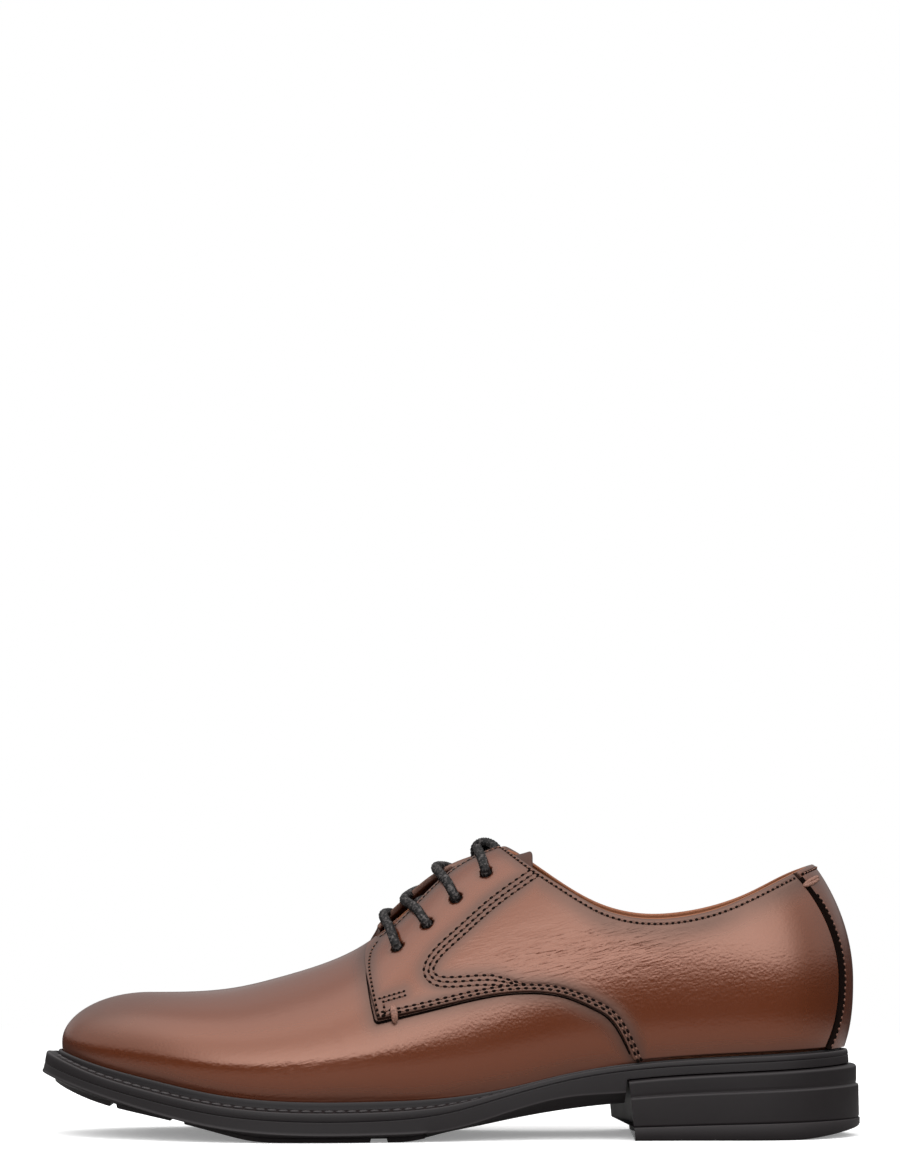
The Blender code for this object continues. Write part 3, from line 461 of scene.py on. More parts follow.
def mathNode(tree, operation, *values):
    return addNode(tree, "ShaderNodeMath", dict(enumerate(values)), operation=operation).outputs[0]


def newGroup(name, inputs, outputs):
    group = bpy.data.node_groups.new(name, "ShaderNodeTree")
    for socketName, kind, value in inputs:
        socket = group.interface.new_socket(socketName, in_out="INPUT", socket_type="NodeSocket" + kind)
        if value is not None:
            socket.default_value = value
    for socketName, kind in outputs:
        group.interface.new_socket(socketName, in_out="OUTPUT", socket_type="NodeSocket" + kind)
    return group, group.nodes.new("NodeGroupInput").outputs, group.nodes.new("NodeGroupOutput").inputs


def useGroup(tree, group, **inputs):
    node = tree.nodes.new("ShaderNodeGroup")
    node.node_tree = group
    for name, value in inputs.items():
        socket = node.inputs[name.replace("_", " ")]
        if isinstance(value, bpy.types.NodeSocket):
            tree.links.new(value, socket)
        else:
            socket.default_value = value
    return node.outputs


def newMaterial(name):
    material = bpy.data.materials.new(name)
    material.use_nodes = True
    tree = material.node_tree
    return material, tree, tree.nodes["Principled BSDF"]


def objectPlace(tree):
    return addNode(tree, "ShaderNodeTexCoord").outputs["Object"]


def maskOf(tree, name):
    return addNode(tree, "ShaderNodeAttribute", attribute_name=name).outputs["Fac"]


def mixColours(tree, share, first, second):
    node = addNode(tree, "ShaderNodeMix", data_type="RGBA")
    tree.links.new(share, node.inputs["Factor"])
    for socket, colour in ((node.inputs["A"], first), (node.inputs["B"], second)):
        if isinstance(colour, bpy.types.NodeSocket):
            tree.links.new(colour, socket)
        else:
            socket.default_value = (*colour, 1)
    return node.outputs["Result"]


def bumpInto(tree, shader, height, strength, distance):
    bump = addNode(tree, "ShaderNodeBump", {"Height": height, "Strength": strength, "Distance": distance})
    tree.links.new(bump.outputs["Normal"], shader.inputs["Normal"])


calfRelief = {
    "napShare": 0.55,
    "foldSize": (0.0062, 0.0062, 0.0011),      # metres
    "foldTilt": -14.0,
    "foldShare": 9.0,
}


def grainGroup():      # pores, fine nap and the stretched wrinkles of calf leather
    group, given, result = newGroup(
        "calf grain",
        [("Place", "Vector", None), ("Pore Scale", "Float", 900.0), ("Wrinkle", "Float", 0.0)],
        [("Height", "Float"), ("Mottle", "Float")],
    )
    place = given["Place"]
    pores = addNode(group, "ShaderNodeTexVoronoi", {"Vector": place, "Scale": given["Pore Scale"]},
                    feature="SMOOTH_F1")
    nap = addNode(group, "ShaderNodeTexNoise", {"Vector": place, "Scale": 1250.0, "Detail": 2.0})
    turned = addNode(group, "ShaderNodeMapping", {"Vector": place, "Scale": calfRelief["foldSize"]},
                     vector_type="TEXTURE")
    turned.inputs["Rotation"].default_value = (0, math.radians(calfRelief["foldTilt"]), 0)
    folds = addNode(group, "ShaderNodeTexNoise", {"Vector": turned.outputs[0], "Scale": 1.0, "Detail": 3.0,
                                                  "Distortion": 0.6})
    sharpFolds = mathNode(group, "POWER", folds.outputs["Fac"], 2.0)
    wrinkled = mathNode(group, "MULTIPLY", sharpFolds, given["Wrinkle"])
    napShare = calfRelief["napShare"]
    fine = mathNode(group, "MULTIPLY_ADD", nap.outputs["Fac"], napShare, pores.outputs["Distance"])
    total = mathNode(group, "MULTIPLY_ADD", wrinkled, calfRelief["foldShare"], fine)
    cloud = addNode(group, "ShaderNodeTexNoise", {"Vector": place, "Scale": 38.0, "Detail": 5.0})
    group.links.new(total, result["Height"])
    group.links.new(cloud.outputs["Fac"], result["Mottle"])
    return group


def burnishAndShadeGroup():      # darker polish rubbed in along seams and at the toe; the same darkening also paints shade beside the quarters' edge on the vamp, at the back strip's gap and over the tongue
    group, given, result = newGroup(
        "burnishAndShade",
        [("Base", "Color", (0.2, 0.07, 0.02, 1)), ("Polish", "Color", (0.05, 0.02, 0.01, 1)),
         ("Amount", "Float", 0.0), ("Mottle", "Float", 0.5), ("Depth", "Float", 0.3)],
        [("Color", "Color"), ("Spread", "Float")],
    )
    loose = mathNode(group, "MULTIPLY_ADD", given["Mottle"], 4.0, -2.0)      # from -2 to 2
    patchy = mathNode(group, "MULTIPLY_ADD", loose, given["Depth"], 1.0)
    varied = mathNode(group, "MULTIPLY", patchy, given["Amount"])
    spread = addNode(group, "ShaderNodeClamp", {"Value": varied}).outputs[0]
    group.links.new(mixColours(group, spread, given["Base"], given["Polish"]), result["Color"])
    group.links.new(spread, result["Spread"])
    return group


def mouldedGroup():      # the faint skin of moulded rubber
    group, given, result = newGroup(
        "moulded skin",
        [("Place", "Vector", None), ("Scale", "Float", 2200.0)],
        [("Height", "Float"), ("Cloud", "Float")],
    )
    place = given["Place"]
    skin = addNode(group, "ShaderNodeTexNoise", {"Vector": place, "Scale": given["Scale"], "Detail": 1.0})
    cloud = addNode(group, "ShaderNodeTexNoise", {"Vector": place, "Scale": 60.0, "Detail": 4.0})
    group.links.new(skin.outputs["Fac"], result["Height"])
    group.links.new(cloud.outputs["Fac"], result["Cloud"])
    return group


calfGrain, burnishAndShade, mouldedSkin = grainGroup(), burnishAndShadeGroup(), mouldedGroup()


def rampOf(tree, value, low, high):      # a value that changes over the surface, between two limits
    node = addNode(tree, "ShaderNodeMapRange", {"Value": value, "To Min": low, "To Max": high})
    return node.outputs["Result"]


def calfLeather(name, look):
    material, tree, shader = newMaterial(name)
    grain = useGroup(tree, calfGrain, Place=objectPlace(tree), Pore_Scale=look["poreScale"],
                     Wrinkle=maskOf(tree, "wrinkle"))
    polish = useGroup(tree, burnishAndShade, Base=(*look["base"], 1), Polish=(*look["polish"], 1),
                      Amount=maskOf(tree, "burnishAndShade"), Mottle=grain["Mottle"], Depth=look["mottle"])
    # painted shade: near black where the hole mask is set, inside lace holes and in the back strip's gap
    colour = mixColours(tree, maskOf(tree, "hole"), polish["Color"], look["inHole"])
    tree.links.new(colour, shader.inputs["Base Color"])
    smooth = rampOf(tree, grain["Mottle"], *look["roughness"])
    waxed = mathNode(tree, "MULTIPLY_ADD", polish["Spread"], look["polishRoughness"], smooth)
    tree.links.new(waxed, shader.inputs["Roughness"])
    shader.inputs["IOR"].default_value = look["ior"]
    shader.inputs["Specular IOR Level"].default_value = look["specular"]
    shader.inputs["Specular Tint"].default_value = (*look["tint"], 1)
    shader.inputs["Coat Weight"].default_value = look["coat"]
    shader.inputs["Coat Roughness"].default_value = look["coatRoughness"]
    bumpInto(tree, shader, grain["Height"], look["bump"], look["bumpDepth"])
    return material


def soleRubber(name, look):
    material, tree, shader = newMaterial(name)
    skin = useGroup(tree, mouldedSkin, Place=objectPlace(tree), Scale=look["grain"])
    tone = mixColours(tree, skin["Cloud"], look["dark"], look["light"])
    # painted highlight: edges lighter where the rim mask is set
    edged = mixColours(tree, maskOf(tree, "rim"), tone, look["rim"])
    tree.links.new(edged, shader.inputs["Base Color"])
    tree.links.new(rampOf(tree, skin["Cloud"], *look["roughness"]), shader.inputs["Roughness"])
    shader.inputs["Specular IOR Level"].default_value = look["specular"]
    bumpInto(tree, shader, skin["Height"], look["bump"], look["bumpDepth"])
    return material


def threadMaterial(name, look):
    material, tree, shader = newMaterial(name)
    place = objectPlace(tree)
    noise = addNode(tree, "ShaderNodeTexNoise", {"Vector": place, "Scale": look["twist"], "Detail": 2.0})
    twist = noise.outputs["Fac"]
    low, high = look["speckle"]
    speckle = addNode(tree, "ShaderNodeMapRange", {"Value": twist, "From Min": low, "From Max": high})
    tone = mixColours(tree, speckle.outputs["Result"], look["dark"], look["light"])
    tree.links.new(tone, shader.inputs["Base Color"])
    tree.links.new(rampOf(tree, twist, *look["roughness"]), shader.inputs["Roughness"])
    shader.inputs["Specular IOR Level"].default_value = look["specular"]
    bumpInto(tree, shader, twist, look["bump"], look["bumpDepth"])
    return material


leatherLook = {
    "base": (0.082, 0.0158, 0.0026),
    # the polish colour also darkens the painted shade beside the quarters' edge, at the strip's gap and on
    # the tongue
    "polish": (0.018, 0.0062, 0.0040),
    # near black, painted as shade inside holes and gaps
    "inHole": (0.006, 0.003, 0.002),
    "poreScale": 950.0,
    "mottle": 0.30,
    "roughness": (0.16, 0.22),
    "polishRoughness": 0.26,
    "ior": 1.6,
    "specular": 1.0,
    "tint": (1.0, 0.62, 0.50),
    "coat": 0.05,
    "coatRoughness": 0.12,
    "bump": 0.62,
    "bumpDepth": 0.00006,
}
upperLeather = calfLeather("burnished calf", leatherLook)
# painted shade: a darker, duller copy of the upper's calf for the tongue, which lies in shade under the
# facings
shadedTongueLeather = calfLeather("shaded tongue calf", {
    **leatherLook, "base": (0.060, 0.016, 0.005), "roughness": (0.40, 0.50), "specular": 0.5,
})
liningLeather = calfLeather("lining leather", {
    **leatherLook, "base": (0.17, 0.050, 0.013), "polish": (0.10, 0.032, 0.011), "coat": 0.0,
    "roughness": (0.55, 0.66), "poreScale": 800.0,
})
rubberLook = {
    "dark": (0.0078, 0.0062, 0.0067),
    "light": (0.0118, 0.0096, 0.0103),
    # lighter colour of the painted edge highlights
    "rim": (0.040, 0.036, 0.037),
    "grain": 2400.0,
    "specular": 0.18,
    "roughness": (0.38, 0.50),
    "bump": 0.25,
    "bumpDepth": 0.00003,
}
weltRubber = soleRubber("welt rubber", rubberLook)
outsoleRubber = soleRubber("outsole rubber", {**rubberLook, "roughness": (0.42, 0.54)})
heelRubber = soleRubber("heel rubber", {**rubberLook, "roughness": (0.42, 0.56)})
# painted highlight: a lighter copy of the welt rubber for the moulded stitches, as if they caught the light
highlitStitchRubber = soleRubber("lighter lit moulded stitches", {
    **rubberLook, "dark": (0.034, 0.030, 0.031), "light": (0.055, 0.050, 0.051),
})
threadLook = {"speckle": (0.3, 0.7), "specular": 0.4, "bump": 0.5, "bumpDepth": 0.00008}
stitchThread = threadMaterial("stitch thread", {
    **threadLook, "dark": (0.080, 0.032, 0.019), "light": (0.20, 0.094, 0.064), "twist": 3000.0,
    "roughness": (0.5, 0.7),
})
tackThread = threadMaterial("tack thread", {
    **threadLook, "dark": (0.11, 0.047, 0.031), "light": (0.28, 0.140, 0.100), "twist": 1500.0,
    "roughness": (0.45, 0.65),
})
# the light specks in the lace's colour are painted glints on the braid
laceCord = threadMaterial("waxed lace", {
    **threadLook, "dark": (0.0036, 0.0029, 0.0029), "light": (0.080, 0.071, 0.069), "twist": 950.0,
    "speckle": (0.49, 0.67), "roughness": (0.45, 0.75), "bump": 1.0, "bumpDepth": 0.00022, "specular": 0.25,
})
# painted shade: a near-black, dull material for the lids in needle holes, the shadow along the quarters'
# edges and the back strip's gap
paintedShade = threadMaterial("painted shade", {
    **threadLook, "dark": (0.0030, 0.0012, 0.0008), "light": (0.006, 0.0026, 0.0016), "twist": 2000.0,
    "roughness": (0.8, 0.95), "bump": 0.2, "specular": 0.06,
})
print("materials made")


# sewing: rows of thread with dark lids over their needle holes as painted shade, gathered and made as two
# joined pieces

sewing = {
    "thread": 0.33,
    "threadStarts": 0.8,      # share of a hole's half length
    "stitch": [      # share of its length, height, girth
        (0.0, -0.18, 0.45), (0.14, 0.10, 0.85), (0.36, 0.22, 1.0),
        (0.64, 0.22, 1.0), (0.86, 0.10, 0.85), (1.0, -0.18, 0.45),
    ],
    "holeWidth": 0.60,
    "holeLength": 0.34,      # half of it, as a share of the pitch
    "holeSink": 0.12,
    "holeCrown": (0.82, 0.19),      # size and height of its dark lid, painted shade over the hole
    "channel": 0.26,
    "channelWidth": 0.66,
    "channelStep": 0.35,
    "surface": 2.2,
    "pitch": 2.9,
    "finePitch": 2.2,
    "clearTop": 1.9,      # rows stay this far below the top edge
    "clearFoot": 0.002,      # and above the lower one, in t
}
threads, holeShades, channelPoints = [], [], {lateral: [], medial: []}


def sewRow(side, rib, t, pitch, surface=None, channel=True):
    surface = sewing["surface"] if surface is None else surface
    line = offLast(side, rib, t, np.full(len(rib), surface - sewing["channel"] * channel))
    normal = lastNormal(side, rib, t)
    steps = walked(line)
    count = max(1, int(round(steps[-1] / pitch)))
    marks = np.linspace(0, steps[-1], count + 1)

    def at(values, s):
        return np.stack([np.interp(s, steps, values[:, i]) for i in range(3)], -1)

    if channel:
        channelPoints[side].extend(at(line, np.arange(0, steps[-1], sewing["channelStep"])))
    inset = pitch * sewing["holeLength"] * sewing["threadStarts"]
    starts, ends = marks[:-1] + inset, marks[1:] - inset
    shares, lift, girth = np.array(sewing["stitch"]).T
    places = starts[:, None] + (ends - starts)[:, None] * shares
    middle = at(line, places) + at(normal, places) * lift[:, None]
    ahead = np.gradient(middle, axis=1)
    ahead /= np.linalg.norm(ahead, axis=-1)[..., None]
    out = at(normal, places)
    across = np.cross(ahead, out)
    across /= np.linalg.norm(across, axis=-1)[..., None]
    turns = np.linspace(0, 2 * math.pi, 6, endpoint=False)
    ring = np.cos(turns)[:, None] * across[..., None, :] + np.sin(turns)[:, None] * out[..., None, :]
    threads.extend(middle[..., None, :] + ring * (girth * sewing["thread"])[:, None, None])
    # painted shade: a dark lid over each needle hole
    spots = at(line, marks)
    lifted = at(normal, marks)
    forward = np.gradient(spots, axis=0)
    forward /= np.linalg.norm(forward, axis=-1)[..., None]
    sideways = np.cross(forward, lifted)
    eight = np.linspace(0, 2 * math.pi, 8, endpoint=False)
    spoke = (np.cos(eight)[:, None] * forward[:, None] * pitch * sewing["holeLength"]
             + np.sin(eight)[:, None] * sideways[:, None] * sewing["holeWidth"])
    size, rise = sewing["holeCrown"]
    rim = spots[:, None] + spoke - lifted[:, None] * sewing["holeSink"]
    crown = spots[:, None] + spoke * size + lifted[:, None] * rise
    holeShades.extend(np.stack([rim, crown], 1))


def makeThreads():
    tubesPiece("stitch_threads", threads, stitchThread)
    tubesPiece("painted_needle_hole_shade", holeShades, paintedShade)


# quarters: the panels with the lace holes, over the vamp

edgeRows = [0, 0.1, 0.26, 0.48, 0.76, 1.1, 1.6]      # steps in from an edge, close where it rounds
quarter = {
    "inner": 0.12,
    "outer": 2.2,
    "begins": 179.0,
    "bow": 9.0,
    "foot": 84.0,
    "footLift": 1.3,
    "spacing": 0.64,
    "rowCount": 92,
    "backFrom": 62.0,
    "edgeWall": 0.45,
    "facingWall": 0.8,
    "facingFrom": (132.0, 138.0),      # stations where the collar's fold becomes a cut edge
    "cutRadius": 0.8,
    "foldRadius": 1.4,
    "backRadius": 0.5,
    "stripClear": 0.9,
    "holeRadius": 2.15,
    "holeDepth": 2.6,
    "front": [      # height, station
        (42.0, 177.2), (50.0, 179.4), (58.0, 181.2), (65.5, 181.9), (69.0, 180.8), (73.0, 177.6),
        (77.0, 173.6),
    ],
    "lowerEdge": [      # station, height
        (84.0, 27.0), (91.0, 41.0), (99.0, 47.4), (108.0, 51.3), (120.0, 53.3), (135.0, 52.4),
        (155.0, 48.2), (177.2, 43.4),
    ],
    "topRow": 2.0,      # stitch rows, this far from the edges they follow
    "topRowTrim": (9, -6),      # columns left out at its ends
    "frontRow": 1.5,
    "frontRowHeights": (45.4, 71.0),
    "lowRows": (1.5, 2.75),
    "lowRowStations": (174.6, 84.0),
    "panelRow": [      # station, height: the outermost of the three rows round the facing
        (120.5, 98.4), (126.0, 94.6), (137.0, 86.6), (147.2, 77.6), (153.7, 71.8), (159.4, 65.0),
        (160.4, 60.4), (157.7, 56.8), (151.9, 55.5), (142.0, 56.0), (132.8, 56.0), (124.0, 55.2),
        (118.0, 54.9),
    ],
    "panelRowSteps": (0.0, -1.75, -3.4),
    "panelRowTurn": 62.0,      # below this height they run back along the lower edge
    "panelRowEnds": (132.0, 128.4, 124.4),      # stations where each meets the lower rows
    "panelRowJoin": (119.0, 136.0),      # stations between which they close up
    "creases": [      # station, height, length, tilt, depth: soft folds below the collar
        (131.0, 68.0, 22.0, -17.0, 0.10), (139.0, 63.0, 16.0, -12.0, 0.08),
        (123.0, 74.0, 20.0, -20.0, 0.09), (116.0, 66.0, 26.0, -12.0, 0.07),
        (98.0, 73.0, 28.0, -6.0, 0.10), (86.0, 68.0, 26.0, -2.0, 0.06),
    ],
    "holes": [(170.4, 69.6), (159.5, 78.1), (149.0, 87.4), (137.9, 96.7)],      # station, height
    "medialHoleShift": 3.4,      # the medial holes lie this much nearer the ridge
    "facingLift": [      # rib, how far the medial facing stands off at its edge
        (136.0, 0.0), (141.0, 0.3), (150.0, 1.2), (157.0, 1.9), (164.0, 2.0), (170.0, 1.9), (173.5, 1.6),
        (176.5, 0.8), (179.0, 0.1), (181.5, 0.0),
    ],
    "liftFrom": 136.0,
    "liftReach": 14.0,
}
backStrip = {
    "inner": 0.3,
    "outer": 2.84,
    "bottom": 32.0,
    "top": 100.0,
    "ribsFrom": 70.0,
    "halfWidth": [(32.0, 20.0), (45.0, 18.0), (60.0, 17.0), (80.0, 18.0), (100.0, 20.0)],      # by height
    "edgeSteps": [0, 0.15, 0.35, 0.55, 0.75, 0.95, 1.15, 1.35, 1.55, 1.75, 2.0, 2.4, 3.0, 3.8],
    "edgeRadius": 0.35,
    "topRadius": 1.5,
    "gap": 1.3,      # open seam beside the strip
    "gapLeast": 0.3,      # share of it left at both ends
    "gapTop": 92.0,
    "seamClimb": 0.32,      # the seam's painted shadow goes this far up the strip's edge
    "seamLift": 0.13,
    "seamStops": 6,      # rows short of the top
    "stitchIn": 0.8,
    "stitchRows": slice(4, -14),
    "topRow": 2.0,
    "topColumns": slice(10, None),
    "channel": 0.2,
}
quarterFront = tableColumn(quarter["front"], 1)
facingLift = tableColumn(quarter["facingLift"], 1)
quarterLowerEdge = tableColumn(quarter["lowerEdge"], 1)
stripHalfWidth = tableColumn(backStrip["halfWidth"], 1)


def quarterLow(side, rib):      # t of the quarter's lower edge
    low = featherHeight(rib) + quarter["footLift"]
    low = np.where(rib > quarter["foot"], np.maximum(low, quarterLowerEdge(rib)), low)
    return tAtHeight(side, rib, low)


def rowShares(length, close, count):      # shares of each length, crowded at both edges
    close = np.array(close)
    middle = np.linspace(0, 1, count + 2)[1:-1]
    length = length[:, None]
    return np.concatenate([
        close / length,
        (close[-1] + (length - 2 * close[-1]) * middle) / length,
        1 - close[::-1] / length,
    ], axis=1)


def quarterGrid(side):
    depth = quarter["begins"] - quarter["backFrom"]
    inFront = np.r_[edgeRows, np.arange(2.2, depth + 0.01, quarter["spacing"])]
    ribs = quarter["begins"] - inFront
    low, end = quarterLow(side, ribs), topAt(side, ribs)
    share = rowShares(wallLength(side, ribs, low, end), edgeRows, quarter["rowCount"])
    t = wallT(side, ribs, low, end, share)
    rib = np.repeat(ribs[:, None], share.shape[1], axis=1)
    bow = np.maximum(0, 1 - inFront / quarter["bow"]) ** 2
    for c in np.nonzero(bow > 0)[0]:      # the front edge follows its own curve
        place = rib[c].copy()
        for _ in range(3):
            height = lastPoint(side, place, t[c])[:, 2]
            place = ribs[c] + bow[c] * (quarterFront(height) - quarter["begins"])
            lowC, endC = quarterLow(side, place), topAt(side, place)
            t[c] = wallT(side, place, lowC, endC, share[c][:, None])[:, 0]
        rib[c] = place
    back = fan(quarter["backFrom"], heelEnd, 70)
    lowB, endB = quarterLow(side, back), topAt(side, back)
    shareB = rowShares(wallLength(side, back, lowB, endB), edgeRows, quarter["rowCount"])
    tB = wallT(side, back, lowB, endB, shareB)
    points = lastPoint(side, back[:, None], tB)
    count = int(quarter["backFrom"] / quarter["spacing"])
    ribBack, tBack = [], []
    for r in range(tB.shape[1]):      # walk round the heel to the back strip
        fromSeam = walked(points[::-1, r])
        rise = np.clip(points[-8, r, 2], backStrip["bottom"], backStrip["top"])
        edge = stripHalfWidth(rise) + quarter["stripClear"]
        wide = np.linspace(fromSeam[-1], edge + edgeRows[-1], count)[1:]
        goals = np.r_[wide, edge + np.array(edgeRows[::-1])[1:]]
        ribBack.append(np.interp(goals, fromSeam, back[::-1]))
        tBack.append(np.interp(goals, fromSeam, tB[::-1, r]))
    return np.concatenate([rib, np.array(ribBack).T]), np.concatenate([t, np.array(tBack).T])


def edgeShape(distance, radius):      # 0 on an edge, 1 past its rounding
    share = np.clip(distance / radius, 0, 1)
    return np.sqrt(1 - (1 - share) ** 2)


def nearest(points, tree):
    return np.array([tree.find(p)[2] for p in points])


def treeOf(points):
    tree = kdtree.KDTree(len(points))
    for i, p in enumerate(points):
        tree.insert(p, i)
    tree.balance()
    return tree


def offsetLine(points, distance):      # a side-view line moved square to itself
    points = np.asarray(points, float)
    tangent = np.gradient(points, axis=0)
    tangent /= np.linalg.norm(tangent, axis=1)[:, None]
    return points + np.column_stack([-tangent[:, 1], tangent[:, 0]]) * distance


def lengthsUp(points):      # along each column of a grid, from its first row
    steps = np.linalg.norm(np.diff(points, axis=1), axis=-1)
    return np.concatenate([np.zeros((len(points), 1)), np.cumsum(steps, axis=1)], axis=1)


def lengthsDown(points):      # the same from its last row
    return lengthsUp(points[:, ::-1])[:, ::-1]


def readAt(marks, rows, *sheets):      # values of each sheet where its row reaches that row's mark
    return [np.array([np.interp(*given) for given in zip(marks, rows, sheet)]) for sheet in sheets]


def rubbed(distance, amount, reach):      # burnish or a furrow that fades with distance
    return amount * np.exp(-(distance / reach) ** 2)


def sewOnSide(side, line, pitch):      # a row given by station and height, kept inside the quarter
    rib, t = fromSide(side, line[:, 0], line[:, 1], sewing["surface"])
    topHeight = lastPoint(side, rib, topAt(side, rib))[:, 2]
    below = lastPoint(side, rib, t)[:, 2] < topHeight - sewing["clearTop"]
    inside = below & (t > quarterLow(side, rib) + sewing["clearFoot"])
    if inside.sum() > 6:      # too short to sew otherwise
        sewRow(side, rib[inside], t[inside], pitch)


def sewQuarter(side, rib, t, fromTop):
    columns = slice(*quarter["topRowTrim"])
    edgeRib, edgeT = readAt(np.full(len(rib), -quarter["topRow"]), -fromTop, rib, t)
    sewRow(side, edgeRib[columns], edgeT[columns], sewing["finePitch"])      # facing and collar
    heights = np.linspace(*quarter["frontRowHeights"], 60)
    frontLine = np.column_stack([quarterFront(heights) - quarter["frontRow"], heights])
    sewOnSide(side, frontLine, sewing["finePitch"])
    stations = np.linspace(*quarter["lowRowStations"], 240)
    lowLine = smoothLine(np.column_stack([stations, quarterLowerEdge(stations)]), 0.5)
    for distance in quarter["lowRows"]:
        sewOnSide(side, offsetLine(lowLine, -distance), sewing["pitch"])
    panel = smoothLine(quarter["panelRow"], 0.5)
    joined, parted = quarter["panelRowJoin"]
    upper = panel[:, 1] > quarter["panelRowTurn"]
    apart = np.where(upper, 1, np.clip((panel[:, 0] - joined) / (parted - joined), 0.1, 1))[:, None]
    for distance, end in zip(quarter["panelRowSteps"], quarter["panelRowEnds"]):
        row = offsetLine(panel, distance * apart)
        ahead = np.einsum("ij,ij->i", np.gradient(row, axis=0), np.gradient(panel, axis=0)) > 0
        sewOnSide(side, row[ahead & (upper | (row[:, 0] > end))], sewing["pitch"])


quarterWear = {
    "seam": (0.95, 3.6),      # burnish: amount, reach
    "edge": (0.9, 1.3),
    "collar": (0.9, 6.0),
    "collarFrom": 3.0,
    "collarEnds": 128.0,
    "foot": (0.55, 5.0),
    "footEnds": 92.0,
    "hole": (0.5, 2.0),
    "heel": (0.3, 36.0, 26.0, 1.2),      # amount, station where it begins, length, growth
    "wrinkles": [      # amount, station, reach along, height, reach up
        (0.9, 133.0, 24.0, 68.0, 11.0), (0.8, 92.0, 26.0, 72.0, 9.0),
    ],
    "wrinkleLeast": 0.06,
}


def quarterMasks(side, rib, t, edges):
    fromLow, fromTop, fromFront = edges
    wear = quarterWear
    points = offLast(side, rib, t, np.full(rib.shape, quarter["outer"]))
    flat = points.reshape(-1, 3)
    toSeam = nearest(flat, treeOf(channelPoints[side])).reshape(rib.shape)
    holeRib, holeT = holePlaces(side)
    holeCentres = offLast(side, holeRib, holeT, np.full(len(holeRib), quarter["outer"]))
    toHole = nearest(flat, treeOf(holeCentres)).reshape(rib.shape)
    toEdge = np.minimum.reduce(edges)
    station, height = points[..., 0], points[..., 2]
    heelAmount, heelFrom, heelLength, heelGrowth = wear["heel"]
    polish = np.maximum.reduce([
        rubbed(toSeam, *wear["seam"]),
        rubbed(toEdge, *wear["edge"]),
        rubbed(np.maximum(0, fromTop - wear["collarFrom"]), *wear["collar"]) * (station < wear["collarEnds"]),
        rubbed(fromLow, *wear["foot"]) * (station < wear["footEnds"]),
        rubbed(np.maximum(0, toHole - quarter["holeRadius"]), *wear["hole"]),
        heelAmount * np.clip((heelFrom - station) / heelLength, 0, 1) ** heelGrowth,
    ])
    # painted shade: near black in each lace hole and at its lip
    hole = np.clip((quarter["holeRadius"] + 0.55 - toHole) / 0.45, 0, 1)
    wrinkle = sum(
        amount * np.exp(-(((station - along) / reach) ** 2 + ((height - level) / rise) ** 2))
        for amount, along, reach, level, rise in wear["wrinkles"]
    )
    wrinkle = np.clip(wrinkle, 0, 1) + wear["wrinkleLeast"]
    return toSeam, toHole, {"burnishAndShade": polish, "wrinkle": wrinkle, "hole": hole}


crease = {"sway": 0.9, "swayRate": 0.21, "width": 1.5, "ridge": 0.55, "ridgeAway": 3.2, "ridgeWidth": 1.8}


def softFolds(points, folds):      # creases as listed: a trough with a low ridge on each side
    push = np.zeros(points.shape[:-1])
    for station, height, length, tilt, depth in folds:
        turn = math.radians(tilt)
        along = (points[..., 0] - station) * math.cos(turn) + (points[..., 2] - height) * math.sin(turn)
        across = (points[..., 2] - height) * math.cos(turn) - (points[..., 0] - station) * math.sin(turn)
        across = across + crease["sway"] * np.sin(along * crease["swayRate"] + station)
        fade = np.exp(-(along / (length * 0.5)) ** 2)
        ridges = np.exp(-((np.abs(across) - crease["ridgeAway"]) / crease["ridgeWidth"]) ** 2)
        wave = np.exp(-(across / crease["width"]) ** 2) - crease["ridge"] * ridges
        push -= depth * wave * fade
    return push


def holePlaces(side):
    station, height = np.array(quarter["holes"]).T
    rib, t = fromSide(lateral, station, height, quarter["outer"] + 0.2)
    if side == lateral:
        return rib, t
    placed = []
    for r, tt in zip(rib, t):      # as far down the rib, less the shift
        near = lastPoint(lateral, np.full(61, r), np.linspace(2, tt, 61))
        away = walked(near)[-1] - quarter["medialHoleShift"]
        ts = np.linspace(2, 1, 161)
        placed.append(np.interp(away, walked(lastPoint(medial, np.full(161, r), ts)), ts))
    return rib, np.array(placed)


